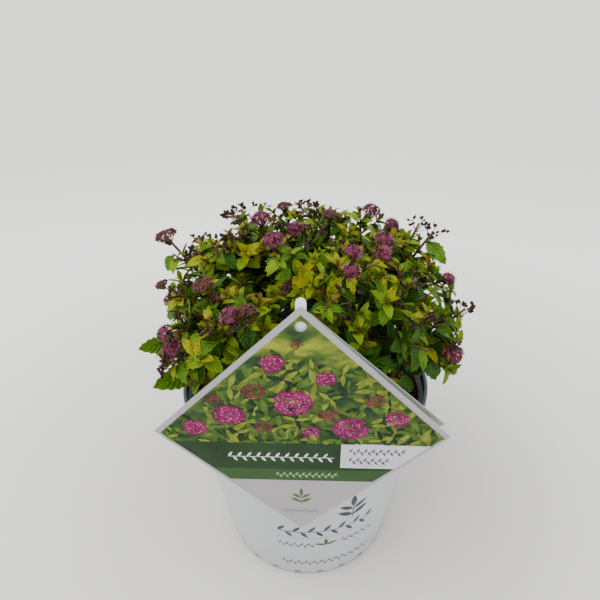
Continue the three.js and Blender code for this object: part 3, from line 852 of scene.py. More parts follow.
def seed_head(tip, up, radius, chance, parts):
    """An open cluster of dry seed cases, a few on each ray."""
    foot = tip - up * radius * SEED_HEAD.foot
    rays = SEED_HEAD.rays + int(3 * chance())
    for ray in range(rays):
        spread = SEED_HEAD.spread + 44 * chance()
        way = branch_way(up, spread, ray * 2 * math.pi / rays + chance())
        fork = foot + way * radius * (0.9 + 0.4 * chance())
        parts["stalks"].append(line(foot, fork))
        for _ in range(SEED_HEAD.cases + int(3 * chance())):
            spread = SEED_HEAD.case_spread + 50 * chance()
            out = branch_way(way, spread, chance() * 2 * math.pi)
            point = fork + out * (1.3 + 1.9 * chance())
            parts["stalks"].append(line(fork, point))
            parts["seed_cases"].append(facing(point, out, 0.75 + 0.4 * chance(), 0))


HEAD_MAKERS = {"open": open_head, "buds": bud_head, "seeds": seed_head}


@functools.cache
def head_parts():
    """The places of all the parts of the flower and seed heads."""
    names = ("petals", "stamens", "flower_buds", "dusky_buds", "seed_cases", "stalks")
    parts = {name: [] for name in names}
    chance = seeded(SEEDS.heads)
    for twig in crown().twigs:
        head = twig.head
        if head.kind in HEAD_MAKERS:
            up = (twig.path.way(1) + HEAD_LIFT).normalized()
            HEAD_MAKERS[head.kind](twig.path.at(1), up, head.radius, chance, parts)
    return parts


# ---- Finishes: each says what the real one is, and what that gives the eye ----


class Finish:
    """A material whose shader's own sockets are set, and the nodes that are added to it."""

    def __init__(self, name, **settings):
        self.material = bpy.data.materials.new(name)
        self.material.use_nodes = True
        self.tree = self.material.node_tree
        self.shader = self.tree.nodes["Principled BSDF"]
        for socket, value in settings.items():
            self.shader.inputs[socket.replace("_", " ")].default_value = value
        coordinates = self.add("TexCoord").outputs
        self.place, self.blade = coordinates["Object"], coordinates["UV"]

    def add(self, kind, sockets=None, **properties):
        """Adds a node with its properties, and its sockets set, or linked where that fits."""
        node = self.tree.nodes.new(f"ShaderNode{kind}")
        for name, value in properties.items():
            setattr(node, name, value)
        for name, value in (sockets or {}).items():
            if isinstance(value, bpy.types.Node):
                value = value.outputs[0]
            if isinstance(value, bpy.types.NodeSocket):
                self.tree.links.new(value, node.inputs[name])
            else:
                node.inputs[name].default_value = value
        return node

    def mottle(self, tones, size, detail=2.0):
        """Colour that wanders between two tones over patches of a size in millimetres."""
        wander = {"Vector": self.place, "Scale": 1000 / size, "Detail": detail}
        patches = self.add("TexNoise", wander)
        ramp = self.add("ValToRGB", {"Fac": patches})
        for element, position, tone in zip(ramp.color_ramp.elements, (0.35, 0.65), tones):
            element.position, element.color = position, tone
        return ramp.outputs["Color"]

    def made(self, colour, height=None, depth=0.0):
        """The material with its colour, and a relief of a depth in millimetres from a height."""
        self.tree.links.new(colour, self.shader.inputs["Base Color"])
        if height:
            bump = self.add("Bump", {"Height": height, "Distance": depth * MM})
            self.tree.links.new(bump.outputs["Normal"], self.shader.inputs["Normal"])
        return self.material


def shade(colour, factor):
    return tuple(min(1, c * factor) for c in colour[:3]) + (1,)


def two_shades(colour, low, high):
    return shade(colour, low), shade(colour, high)


def plain_finish(name, colour, roughness, size=3.0, spread=0.15, **settings):
    """Soft tissue or flat ink: one colour that wanders a little from place to place."""
    finish = Finish(name, Roughness=roughness, **settings)
    return finish.made(finish.mottle(two_shades(colour, 1 - spread, 1 + spread), size))


def grained_finish(name, tones, patches, grain, depth, **settings):
    """Mottled in patches and rough with grain, each of a size in millimetres and a detail."""
    finish = Finish(name, **settings)
    size, detail = grain
    skin = finish.add("TexNoise", {"Vector": finish.place, "Scale": 1000 / size, "Detail": detail})
    return finish.made(finish.mottle(tones, *patches), skin, depth)


def ink_finish(name, colour, spread=0.12, size=5.0):
    """Flat printing ink under a matt film: an even colour with a soft, weak shine."""
    return plain_finish(name, colour, 0.45, size, spread, Specular_IOR_Level=0.12)


def bark_finish(colour):
    """Thin young bark: satin, with red-brown streaks along its cracks.

    The cracks' grain is drawn at 0.9 mm, coarser than life, so that it shows."""
    tones = two_shades(colour, 0.5, 1.6)
    return grained_finish("young_bark", tones, (4.0, 5.0), (0.9, 4.0), 0.25, Roughness=0.6)


def moulded_finish(name, colour, roughness, depth):
    """Injection-moulded polypropylene: satin and even, with a faint grain from the mould.

    The grain is drawn at 1.2 mm, coarser than life, so that it shows."""
    tones = two_shades(colour, 0.97, 1.02)
    look = {"Roughness": roughness, "IOR": 1.49}
    return grained_finish(name, tones, (30.0,), (1.2, 3.0), depth, **look)


def peat_finish(name, low, high):
    """Moist peat and bark crumb: nearly black, with brown fibres, dull."""
    return grained_finish(name, (low, high), (2.5, 6.0), (1.8, 6.0), 1.2, Roughness=0.9)


VEINS = SimpleNamespace(slant=0.55, pitch=44.0, depth=0.2)
# The paler parts of a blade: where they start and end, as distances from its middle, the share
# of the paler tone at each, and how much paler it is.
BLADE_EDGE, MIDRIB = (0.22, 0.5, 0.0, 0.75, 1.4), (0.0, 0.07, 0.6, 0.0, 1.7)


def leaf_finish(tint, colour):
    """A thin leaf blade: matt, paler at its edges and midrib, with its side veins pressed in.

    The veins are fewer and wider than in life, so that they show."""
    finish = Finish(f"leaf_blade_{tint}", Roughness=0.52, Specular_IOR_Level=0.14)
    add = finish.add
    across, along, _ = add("SeparateXYZ", {0: finish.blade}).outputs
    side = add("Math", {0: across, 1: 0.5}, operation="SUBTRACT")
    side = add("Math", {0: side}, operation="ABSOLUTE")
    tone = finish.mottle(two_shades(colour, 0.68, 1.18), 5.0)
    for start, end, at_start, at_end, factor in (BLADE_EDGE, MIDRIB):
        reach = {"From Min": start, "From Max": end, "To Min": at_start, "To Max": at_end}
        share = add("MapRange", {"Value": side, **reach})
        paler = add("Mix", {0: share, 6: tone, 7: shade(colour, factor)}, data_type="RGBA")
        tone = paler.outputs[2]
    slant = add("Math", {0: side, 1: VEINS.slant}, operation="MULTIPLY")
    place = add("Math", {0: along, 1: slant}, operation="SUBTRACT")
    turn = add("Math", {0: place, 1: VEINS.pitch}, operation="MULTIPLY")
    return finish.made(tone, add("Math", {0: turn}, operation="SINE"), VEINS.depth)


def printed_field_finish():
    """Halftone print of soft green and gold leaves, far off, under a thin film."""
    finish = Finish("printed_foliage_field", Roughness=0.45, Specular_IOR_Level=0.12)
    add = finish.add
    stretch = {"Rotation": (0, 0.6, 0), "Scale": (1.0, 1.0, 2.2)}
    stretched = add("Mapping", {"Vector": finish.place, **stretch})
    blur = {"Scale": 1000 / 16, "Detail": 3.0, "Roughness": 0.45}
    soft = add("TexNoise", {"Vector": stretched, **blur})
    height = add("SeparateXYZ", {0: finish.place}).outputs["Z"]
    rise = {"From Min": 0.185, "From Max": 0.215, "To Max": 0.16}  # paler towards the top, in m
    share = add("Math", {0: soft, 1: add("MapRange", {"Value": height, **rise})}, operation="ADD")
    ramp = add("ValToRGB", {"Fac": share})
    first, *others = (0.3, "#14261a"), (0.45, "#263e20"), (0.58, "#465a22"), (0.76, "#868c2a")
    elements = ramp.color_ramp.elements
    elements.remove(elements[1])
    elements[0].position, elements[0].color = first[0], linear(first[1])
    for position, tone in others:
        elements.new(position).color = linear(tone)
    return finish.made(ramp.outputs["Color"])


def sweep_finish(floor, wall):
    """Matt painted board, with no shine. Painted light and painted shade: it goes paler with
    distance from the middle, from the floor tone round the pot to the wall tone further off.
    """
    finish = Finish("matt_painted_sweep", Roughness=0.9)
    reach = finish.add("VectorMath", {0: finish.place}, operation="LENGTH").outputs["Value"]
    # The share of the paler wall tone grows with distance from the middle: painted light.
    share = finish.add("MapRange", {"Value": reach, "From Min": 0.15, "From Max": 0.6})
    tone = finish.add("Mix", {0: share, 6: floor, 7: wall}, data_type="RGBA")
    return finish.made(tone.outputs[2])


# ---- Sizes and colours that a user may change ----


def colour_property(name, description, hex_colour):
    return FloatVectorProperty(
        name=name, description=description, subtype="COLOR", size=4, min=0, max=1,
        default=linear(hex_colour),
    )


class SpireaPlantSettings(bpy.types.PropertyGroup):
    # Gold and lime go more often to the side towards the key light, deep green more often inside
    # and low down: partly the leaves' own age, partly painted light and painted shade.
    gold: colour_property("Gold leaf", "Youngest leaves in full light", "#7d7e0b")
    lime: colour_property("Lime leaf", "Young leaves", "#657e0c")
    green: colour_property("Green leaf", "Grown leaves", "#42630d")
    deep: colour_property("Deep green leaf", "Old leaves inside the crown", "#2c4d0d")
    bronze: colour_property("Bronze leaf", "Leaves with an orange flush", "#5f4f16")
    bark: colour_property("Bark", "Bark of the stem, boughs and twigs", "#452b18")


class SpireaHeadSettings(bpy.types.PropertyGroup):
    petal: colour_property("Petals", "Petals of the open florets", "#561430")
    stamen: colour_property("Stamens", "Filaments and anthers", "#a05d76")
    flower_bud: colour_property("Flower buds", "Closed florets in open heads", "#3a0d20")
    dusky_bud: colour_property("Dusky buds", "Closed heads", "#4c2c25")
    seed_case: colour_property("Seed cases", "Dry seed cases", "#2c180e")
    stalk: colour_property("Stalks", "Fine stalks of the heads", "#4e4a20")


class SpireaPotSettings(bpy.types.PropertyGroup):
    film: colour_property("Film", "White printed film on the pot's wall", "#b0b3b8")
    slate: colour_property("Slate", "The pot's own plastic, at the lip and inside", "#3f4654")
    peat: colour_property("Compost", "Peat and bark crumb", "#241c16")
    crumbs: IntProperty(
        name="Crumbs", description="Loose crumbs on the compost", default=1500, min=0, max=6000
    )


class SpireaLabelSettings(bpy.types.PropertyGroup):
    card: colour_property("Card", "Bare card at the border and foot", "#928e92")
    back: colour_property("Rear leaf", "Rear leaf and stake", "#8b948a")
    strap: colour_property("Strap", "Strap between the leaves", "#d2d6e2")
    band: colour_property("Band", "Dark green band", "#20341d")
    strip: colour_property("Strip", "Lighter green strip under the band", "#2d4826")


class SpireaStudioSettings(bpy.types.PropertyGroup):
    # The sweep's two tones are painted light and painted shade over one board: the floor tone round
    # the pot, the paler wall tone further off.
    floor: colour_property("Floor", "Sweep under the pot", "#c9c7c2")
    wall: colour_property("Wall", "Sweep away from the pot", "#f9f9f6")
    key: FloatProperty(
        name="Key light", description="Power of the overhead softbox", default=16.1, min=0,
        unit="POWER",
    )
    fill: FloatProperty(
        name="Fill light", description="Power of the fill from the right", default=4.6, min=0,
        unit="POWER",
    )
    lens: FloatProperty(
        name="Lens", description="Focal length on a 36 mm sensor", default=28.92, min=10, max=200
    )


# ---- The plant ----

RIDGE = SimpleNamespace(stem=0.35, bough=0.12)  # the depth of the bark's ridges
BUTTRESS = SimpleNamespace(count=4, swell=0.12, turn=0.6, height=5)
STEM_DETAIL, BOUGH_DETAIL = (40, 40), (14, 48)  # sides and steps
TWIG_DETAIL = {0: (9, 6), 1: (7, 14), 2: (5, 5)}  # the same, by order
STALK = (0.28, 0.2, 3, 1)  # radii, sides and steps


def stem_radius(turns, along):
    """The stem's radius: a flared foot with four low buttresses, under ridged bark."""
    radius = np.interp(along, *zip(*STEM_FLARE))
    ripple = np.cos(turns * BUTTRESS.count + BUTTRESS.turn)
    buttress = 1 + BUTTRESS.swell * ripple * np.exp(-along / BUTTRESS.height)
    return radius * buttress + bark_relief(RIDGE.stem)(turns, along)


class SPIREA_OT_framework(bpy.types.Operator):
    """Make the stem and boughs with their bark"""

    bl_idname = "spirea.framework"
    bl_label = "Stem and boughs"

    def execute(self, context):
        foot = Vector((0, 0, COMPOST_TOP + CLEARANCE))
        stem = Path(foot, foot + Vector((0.3, 0.2, 8)), foot + Vector((0, 0, STEM_HEIGHT)))
        relief, radii = bark_relief(RIDGE.bough), (BOUGH.base_radius, BOUGH.tip_radius)
        boughs = [limb_arrays(path, *radii, *BOUGH_DETAIL, relief) for path in crown().boughs]
        limbs = together([limb_arrays(stem, 0, 0, *STEM_DETAIL, stem_radius), *boughs])
        bark = bark_finish(context.scene.spirea_plant.bark)
        piece("stem_and_boughs", limbs, "bark", bark, nodes=["stem", *BOUGH_NODES])
        return {"FINISHED"}


class SPIREA_OT_twigs(bpy.types.Operator):
    """Make the twigs of all the sprays"""

    bl_idname = "spirea.twigs"
    bl_label = "Twigs"

    def execute(self, context):
        limbs = []
        for twig in crown().twigs:
            radii = twig.start_radius, twig.end_radius
            limbs.append(limb_arrays(twig.path, *radii, *TWIG_DETAIL[twig.order]))
        piece("twigs", together(limbs), "bark", bark_finish(context.scene.spirea_plant.bark))
        return {"FINISHED"}


class SPIREA_OT_leaves(bpy.types.Operator):
    """Make the leaves, one piece for each tint"""

    bl_idname = "spirea.leaves"
    bl_label = "Leaves"

    def execute(self, context):
        templates = {
            form: [leaf_template(*numbers) for numbers in varieties]
            for form, varieties in LEAF_FORMS.items()
        }
        for tint in TINTS:
            parts = [
                copies_of(templates[form][variety], places)
                for (tone, form, variety), places in sorted(leaf_places().items())
                if tone == tint
            ]
            blade = leaf_finish(tint, getattr(context.scene.spirea_plant, tint))
            nodes = FOLIAGE_NODES if tint == "green" else ()
            piece(f"leaves_{tint}", together(parts), "foliage", blade, nodes=nodes)
        return {"FINISHED"}


class SPIREA_OT_heads(bpy.types.Operator):
    """Make the flower heads, bud heads and seed heads"""

    bl_idname = "spirea.heads"
    bl_label = "Heads"

    def execute(self, context):
        settings = context.scene.spirea_heads
        # Petals and stamens are soft and matt, closed florets a little smoother, and dusky buds
        # and dry cases dull.
        makers = {
            "petals": (petal_ring(), settings.petal, 0.5),
            "stamens": (stamen_ring(), settings.stamen, 0.5),
            "flower_buds": (round_template(0.2), settings.flower_bud, 0.45),
            "dusky_buds": (round_template(0.0), settings.dusky_bud, 0.7),
            "seed_cases": (round_template(0.5), settings.seed_case, 0.75),
        }
        parts = head_parts()
        for name, (template, colour, roughness) in makers.items():
            look = {"spread": 0.3, "Specular_IOR_Level": 0.2}
            tissue = plain_finish(f"{name}_tissue", colour, roughness, **look)
            piece(name, copies_of(template, parts[name]), "foliage", tissue)
        stalks = together([limb_arrays(path, *STALK) for path in parts["stalks"]])
        piece("head_stalks", stalks, "foliage", plain_finish("stalk_skin", settings.stalk, 0.6))
        return {"FINISHED"}


# ---- The pot and what fills it ----

ROLL = SimpleNamespace(reach=0.7, middle=0.2)  # the small round of the lip's corners
SKIN = 0.6  # how far inside the wall's line a face still counts as its outside
NOTCH_STEP = 2 * math.pi / (NOTCH.count * NOTCH.steps)
UNDER_LIP = POT.height - POT.lip_height


def wall_radius(height):
    rise = (POT.wall_top_radius - POT.base_radius) / (POT.height - POT.lip_height)
    return POT.base_radius + rise * height


def lathe(profile, steps):
    """A bmesh of a profile of radius and height turned all round."""
    bm = bmesh.new()
    verts = [bm.verts.new((radius, 0, height)) for radius, height in profile]
    edges = [bm.edges.new(pair) for pair in zip(verts, verts[1:])]
    bmesh.ops.spin(
        bm, geom=verts + edges, axis=(0, 0, 1), cent=(0, 0, 0), steps=steps, angle=2 * math.pi,
        use_merge=True,
    )
    bmesh.ops.remove_doubles(bm, verts=bm.verts, dist=1e-4)
    bmesh.ops.recalc_face_normals(bm, faces=bm.faces)

    # The spin leaves its faces in an order that changes from run to run, so they are sorted.
    bm.verts.index_update()
    count = len(bm.verts)

    def rank(face):
        first, second, third = sorted(vert.index for vert in face.verts)[:3]
        return (first * count + second) * count + third

    bm.faces.sort(key=rank)
    return bm


def rolled(radius, height, out, up):
    """Three points round a small rolled corner of the lip, from its level face to its wall."""
    return [
        (radius - ROLL.reach * out, height),
        (radius - ROLL.middle * out, height + ROLL.middle * up),
        (radius, height + ROLL.reach * up),
    ]


def pot_section():
    """The pot's section, from the middle of its underside to the middle of its floor."""
    ledge = NOTCH.height + 0.1
    levels = (NOTCH.height, ledge, NOTCH.film_height, *range(10, 130, 10))
    return [
        (0, 0),
        (POT.base_radius - 2, 0),
        (POT.base_radius - 0.7, 0.35),
        (wall_radius(1.2) - 0.1, 1.2),
        *((wall_radius(height), height) for height in levels),
        (POT.wall_top_radius, UNDER_LIP - 0.4),
        (POT.wall_top_radius + 0.4, UNDER_LIP),
        *rolled(POT.rim_radius, UNDER_LIP, 1, 1),
        *reversed(rolled(POT.rim_radius, POT.height, 1, -1)),
        *rolled(POT.inner_top, POT.height, -1, -1),
        (POT.inner_top, UNDER_LIP + 1),
        (POT.wall_top_radius - POT.wall, UNDER_LIP - 2),
        (wall_radius(POT.floor) - POT.wall, POT.floor),
        (0, POT.floor),
    ]


def in_notch(point, half_steps, height):
    """Whether a point is in a foot notch of a half width, in the turned wall's steps."""
    place = round(math.atan2(point.y, point.x) / NOTCH_STEP) % NOTCH.steps
    return abs(place - NOTCH.steps / 2) <= half_steps and point.z < height + 0.05


class SPIREA_OT_pot(bpy.types.Operator):
    """Make the moulded pot with its film, lip and foot notches"""

    bl_idname = "spirea.pot"
    bl_label = "Pot"

    def execute(self, context):
        settings = context.scene.spirea_pot
        bm = lathe(pot_section(), NOTCH.count * NOTCH.steps)
        # The film covers the wall's outer face, from the notches to just under the lip.
        for face in bm.faces:
            middle = face.calc_center_median()
            outside = middle.xy.length > wall_radius(middle.z) - SKIN and face.normal.z > -0.5
            bitten = in_notch(middle, NOTCH.film_half_steps, NOTCH.film_height)
            film = outside and middle.z < UNDER_LIP - 0.2 and not bitten
            face.material_index = 1 if film else 0
        for vert in bm.verts:
            reach = vert.co.xy.length
            if in_notch(vert.co, NOTCH.half_steps, NOTCH.height) and reach > POT.base_radius - 2.5:
                vert.co.xy *= 1 - NOTCH.depth / reach
        slate = moulded_finish("moulded_slate_polypropylene", settings.slate, 0.42, 0.05)
        film = moulded_finish("white_mould_film", settings.film, 0.36, 0.03)
        pot = piece("pot_shell", bm, "pot", slate, film, nodes=["pot"])
        pot.data.set_sharp_from_angle(angle=math.radians(35))
        return {"FINISHED"}


BED = SimpleNamespace(gap=0.5, fall=0.8, rings=40, steps=150)
BED_WAVES = [(1.3, 9), (0.7, 2.6)]  # height, width
CRUMB_TONES = {"peat_crumbs": ("#15100c", "#3a2b1e"), "bark_crumbs": ("#3d2817", "#7b5833")}
CRUMB = SimpleNamespace(smallest=0.5, growth=1.1, bark_share=0.22, lift=0.3, edge=2)


class SPIREA_OT_compost(bpy.types.Operator):
    """Make the compost and the crumbs on it"""

    bl_idname = "spirea.compost"
    bl_label = "Compost"

    def execute(self, context):
        settings = context.scene.spirea_pot
        low = POT.floor + CLEARANCE
        foot = wall_radius(low) - POT.wall - BED.gap
        edge = wall_radius(COMPOST_TOP) - POT.wall - BED.gap
        top = [(radius, COMPOST_TOP) for radius in np.linspace(edge - BED.gap, 0, BED.rings)]
        bm = lathe([(0, low), (foot, low), (edge, COMPOST_TOP - BED.fall), *top], BED.steps)
        for vert in bm.verts:
            if vert.co.z > COMPOST_TOP - 0.1:
                waves = [height * noise.noise(vert.co / width) for height, width in BED_WAVES]
                vert.co.z += sum(waves)
        peat = peat_finish("moist_peat", *two_shades(settings.peat, 0.35, 1.5))
        piece("compost_bed", bm, "compost", peat, nodes=["compost"])

        chance = seeded(SEEDS.crumbs)
        places = {name: [] for name in CRUMB_TONES}
        for _ in range(settings.crumbs):
            reach, turn = (edge - CRUMB.edge) * math.sqrt(chance()), chance() * 2 * math.pi
            height = COMPOST_TOP + CRUMB.lift
            root = Vector((reach * math.cos(turn), reach * math.sin(turn), height))
            size = CRUMB.smallest + CRUMB.growth * chance() ** 2
            way = any_way(chance).normalized()
            root, across, along, face = facing(root, way, size, chance() * 6)
            name = "bark_crumbs" if chance() < CRUMB.bark_share else "peat_crumbs"
            arms = across * (0.6 + chance()), along * (0.6 + 1.2 * chance()), face
            places[name].append((root, *arms))
        crumb = round_template(0.3)
        for name, tones in CRUMB_TONES.items():
            fibre = peat_finish(f"{name}_fibre", *map(linear, tones))
            piece(name, copies_of(crumb, places[name]), "compost", fibre)
        return {"FINISHED"}


# ---- Printed matter: flat shapes in the label's own plane, or wrapped round the pot ----

PRINT_LEAF = (8, 0.34, 0.06, 0.0, 0.0, 0.0)  # as in LEAF_FORMS
CARD_FACE = -CARD.thickness / 2
UPPER_MARGIN, LOWER_MARGIN = 4.3, 2.4  # of bare card round the print
HOLE = SimpleNamespace(height=68.0, radius=2.8, clear=8)
LAYERS = SimpleNamespace(field=0.02, ink=0.04, garland=0.07, wrap=0.04)
GARLAND_TURN = 0.62


def clipped(bm, limits):
    """Cuts off all that lies past each limit: a point and the way out from it."""
    for point, out in limits:
        bmesh.ops.bisect_plane(
            bm, geom=whole(bm), plane_co=point, plane_no=out, clear_outer=True, dist=1e-5
        )
    return bm


def diamond_limits():
    """The four slanted limits of the label's print."""
    upper = (CARD.half_diagonal - UPPER_MARGIN) / 2
    lower = (CARD.half_diagonal - LOWER_MARGIN) / 2
    return [
        ((side * half, 0, up * half), (side, 0, up))
        for half, up in ((upper, 1), (lower, -1))
        for side in (-1, 1)
    ]


def picture_limits():
    """The limits of the label's picture, which ends level with its bands."""
    levels = [(LABEL_BANDS.picture, -1), (LABEL_BANDS.top, 1)]
    return diamond_limits() + [((0, 0, height), (0, 0, up)) for height, up in levels]


def print_piece(name, bm, layer, ink):
    """Lays a flat print, drawn in the label's X and Z, on the face of its card."""
    bmesh.ops.translate(bm, vec=(0, CARD_FACE - layer, 0), verts=bm.verts)
    bmesh.ops.transform(bm, matrix=LABEL_FRAME, verts=bm.verts)
    piece(f"label_{name}", bm, "label_card", ink, smooth=False)


def panel(low, high, left=-LABEL_BANDS.top, right=LABEL_BANDS.top):
    """A flat rectangle in X and Z that faces the front, cut to the label's diamond."""
    bm = bmesh.new()
    bmesh.ops.create_grid(bm, x_segments=1, y_segments=1, size=0.5)
    bmesh.ops.scale(bm, vec=(right - left, high - low, 1), verts=bm.verts)
    bmesh.ops.rotate(bm, matrix=Matrix.Rotation(math.pi / 2, 3, "X"), verts=bm.verts)
    bmesh.ops.translate(bm, vec=((left + right) / 2, 0, (low + high) / 2), verts=bm.verts)
    return clipped(bm, diamond_limits())


def picture_field():
    """The picture's ground, with the card's hole left open."""
    bm = panel(LABEL_BANDS.picture, LABEL_BANDS.top)
    bmesh.ops.delete(bm, geom=bm.faces[:], context="FACES_ONLY")
    turned = Matrix.Translation((0, 0, HOLE.height)) @ Matrix.Rotation(math.pi / 2, 4, "X")
    bmesh.ops.create_circle(bm, segments=40, radius=HOLE.radius, matrix=turned)
    bmesh.ops.triangle_fill(bm, use_beauty=True, edges=bm.edges, normal=(0, -1, 0))
    return bm


def flat_print(template, places):
    """A bmesh of copies of a flat template, for the cutting operators."""
    arrays = copies_of(template, places)
    mesh = bpy.data.meshes.new("flat")
    mesh.from_pydata(arrays.points.tolist(), [], arrays.faces.tolist())
    bm = bmesh.new()
    bm.from_mesh(mesh)
    bpy.data.meshes.remove(mesh)
    return bm


def leaf_print(places):
    return flat_print(leaf_template(*PRINT_LEAF), places)


def dot_print(places):
    """Flat round dots."""
    bm = bmesh.new()
    bmesh.ops.create_circle(bm, cap_ends=True, segments=7, radius=1)
    return flat_print(arrays_of(bm), places)


def print_place(x, z, turn, size, layer=0.0):
    """A place for a flat leaf in the label's plane, growing at an angle from upright."""
    along = Vector((math.sin(turn), 0, math.cos(turn)))
    across = Vector((math.cos(turn), 0, -math.sin(turn)))
    return Vector((x, -layer, z)), across * size, along * size, Vector((0, -size, 0))


def garland(left, right, height, size, pitch):
    """Small leaves along a level stem, by turns above and below it."""
    places = []
    for i, x in enumerate(np.arange(left, right, pitch / 2)):
        turn = (GARLAND_TURN, math.pi - GARLAND_TURN)[i % 2]
        root, across, along, face = print_place(x, height, math.pi / 2, size)
        stem = root, across * 0.32, along * 0.75 * pitch / size, face
        places += [print_place(x, height, turn, size), stem]
    return places


def sprig(x, foot, size, pairs):
    """Pairs of leaves up a short stem, with one more at its top."""
    step = 0.55 * size
    root, across, along, face = print_place(x, foot, 0, size)
    places = [
        (root, across * 0.22, along * 0.55 * pairs, face),
        print_place(x, foot + step * pairs, 0, size),
    ]
    for i in range(pairs):
        for turn in (-1.0, 1.0):
            places.append(print_place(x, foot + step * (i + 0.6), turn, size * (1 - 0.1 * i)))
    return places


PICTURE_TINTS = {"shade": "#16281a", "leaf": "#263e1d", "young": "#40581f", "sunlit": "#677024"}
PICTURE_TUFTS = SimpleNamespace(
    count=230, width=150, foot=-14, height=62, leaves=4, spread=1.35, shortest=4.5, growth=7,
    rise=0.0022, leaf_rise=0.0005,
)
# The picture's round clusters: the place of the middle and the radius.
BLOSSOMS = [(-37, 13, 8), (-4, 22, 10), (26, 5, 9), (-14, 47, 6), (12, 38, 5), (49, 12, 6),
            (-56, 4, 6), (5, 2, 5)]
BUDS = [(-24, 29, 6), (-45, 24, 4), (14, 14, 5), (37, 24, 5), (-20, 5, 5), (-2, 58, 3)]
# Their dots: clusters, dots for each square millimetre, size, layer, share of the radius, ink.
PICTURE_DOTS = {
    "blossom": (BLOSSOMS, 2.6, 0.9, 0.46, 1.0, "#6b1945"),
    "blossom_light": (BLOSSOMS, 0.9, 0.36, 0.66, 0.9, "#a95486"),
    "bud": (BUDS, 2.2, 0.6, 0.46, 1.0, "#5a2c2e"),
}
# Ornaments on the bands, the box and the card's foot. A garland has its left, right, height,
# size and pitch, and a sprig its middle, foot, size and pairs.
ORNAMENTS = {
    "band": (garland(-40, 16, -17.5, 4.2, 5.2), "#c9cdc6"),
    "strip": (garland(-14, 19, -31.5, 2.8, 3.6), "#8ba582"),
    "box": (garland(26, 56, -12.5, 3.2, 4.0) + garland(26, 47, -19.5, 3.2, 4.0), "#37353b"),
    "foot": (garland(-11, 10, -62.5, 2.2, 3.0), "#6c6f66"),
    "sprig": (sprig(0, -57, 7.0, 2), "#4c5a3c"),
}


def picture_leaves(chance):
    """Leaves in tufts over the picture, by tint, the later ones in front."""
    tufts, names = PICTURE_TUFTS, list(PICTURE_TINTS)
    places = {name: [] for name in names}
    for tuft in range(tufts.count):
        x, z = tufts.width * chance() - tufts.width / 2, tufts.foot + tufts.height * chance()
        tone = min(3, int(tuft / tufts.count * 1.7 + 2.2 * chance()))
        turn, size = 6.28 * chance(), tufts.shortest + tufts.growth * chance()
        for leaf in range(tufts.leaves):
            layer = tufts.rise * tuft + tufts.leaf_rise * leaf
            spot = print_place(x, z, turn + leaf * tufts.spread, size, layer)
            tip = spot[0] + spot[2]
            points = (spot[0], tip, (spot[0] + tip) / 2)
            if all(math.hypot(p.x, p.z - HOLE.height) > HOLE.clear for p in points):
                places[names[(tone + (leaf % 2)) % 4]].append(spot)
    return places


def dot_places(clusters, plenty, size, layer, share, chance):
    """Dots spread over round clusters, the outer rows sparser."""
    places = []
    for x, z, radius in clusters:
        for i in range(int(plenty * radius**2)):
            reach = radius * math.sqrt(chance()) * share
            turn = i * GOLDEN_ANGLE
            point = (x + reach * math.cos(turn), z + 0.8 * reach * math.sin(turn))
            places.append(print_place(*point, 0, size * (0.7 + 0.6 * chance()), layer + 0.0004 * i))
    return places


class SPIREA_OT_label(bpy.types.Operator):
    """Finish the label's leaves and strap, and print the card"""

    bl_idname = "spirea.label"
    bl_label = "Label"

    def execute(self, context):
        settings, bands = context.scene.spirea_label, LABEL_BANDS
        # Thin extruded plastic sheet: satin, almost without grain.
        for node, colour, name in (
            ("label_front", settings.card, "printed_plastic_card"),
            ("label_stake", settings.back, "grey_green_plastic_leaf"),
            ("label_tab", settings.strap, "white_plastic_strap"),
        ):
            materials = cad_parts[node].data.materials
            materials.clear()
            materials.append(moulded_finish(name, colour, 0.38, 0.02))

        print_piece("picture", picture_field(), LAYERS.field, printed_field_finish())
        band = ink_finish("green_band_ink", settings.band, 0.18, 25.0)
        print_piece("band", panel(bands.strip, bands.picture), LAYERS.field, band)
        strip = ink_finish("green_strip_ink", settings.strip, 0.1, 25.0)
        print_piece("strip", panel(bands.foot, bands.strip), LAYERS.field, strip)
        box = panel(bands.box_foot, bands.picture, left=bands.box_left)
        print_piece("box", box, LAYERS.ink, ink_finish("pale_box_ink", linear("#b7b4bb"), 0.05))

        chance = seeded(SEEDS.picture)
        for name, places in picture_leaves(chance).items():
            ink = ink_finish(f"{name}_leaf_ink", linear(PICTURE_TINTS[name]), 0.3)
            bm = clipped(leaf_print(places), picture_limits())
            print_piece(f"leaves_{name}", bm, LAYERS.ink, ink)
        for name, (*spread, hex_colour) in PICTURE_DOTS.items():
            ink = ink_finish(f"{name}_ink", linear(hex_colour), 0.3)
            bm = clipped(dot_print(dot_places(*spread, chance)), picture_limits())
            print_piece(f"{name}_dots", bm, LAYERS.ink, ink)
        for name, (places, hex_colour) in ORNAMENTS.items():
            ink = ink_finish(f"{name}_garland_ink", linear(hex_colour))
            bm = clipped(leaf_print(places), diamond_limits())
            print_piece(f"{name}_garland", bm, LAYERS.garland, ink)
        return {"FINISHED"}


POT_GARLANDS = [(-27, 40, 62, 8.6, 10.4), (-27, -4, 44, 4.0, 5.0), (17, 40, 44, 4.0, 5.0),
                (-25, 40, 18, 4.2, 5.4)]
RULE = SimpleNamespace(height=53.5, left=-28, right=38, pitch=5, size=5.4, thinness=0.35)
POT_PRINTS = {
    "grey": (
        [place for row in POT_GARLANDS for place in garland(*row)] + sprig(24, 70, 13.0, 2),
        "#3b4048",
    ),
    "rule": (
        [
            print_place(x, RULE.height, math.pi / 2, RULE.size)
            for x in np.arange(RULE.left, RULE.right, RULE.pitch)
        ],
        "#74787e",
    ),
    "green": ([print_place(6, 43, turn, 8.5) for turn in (1.2, -1.2, 0)], "#3b5a2c"),
}
PRINT_TURN = 0.08  # of the pot's print, from the front


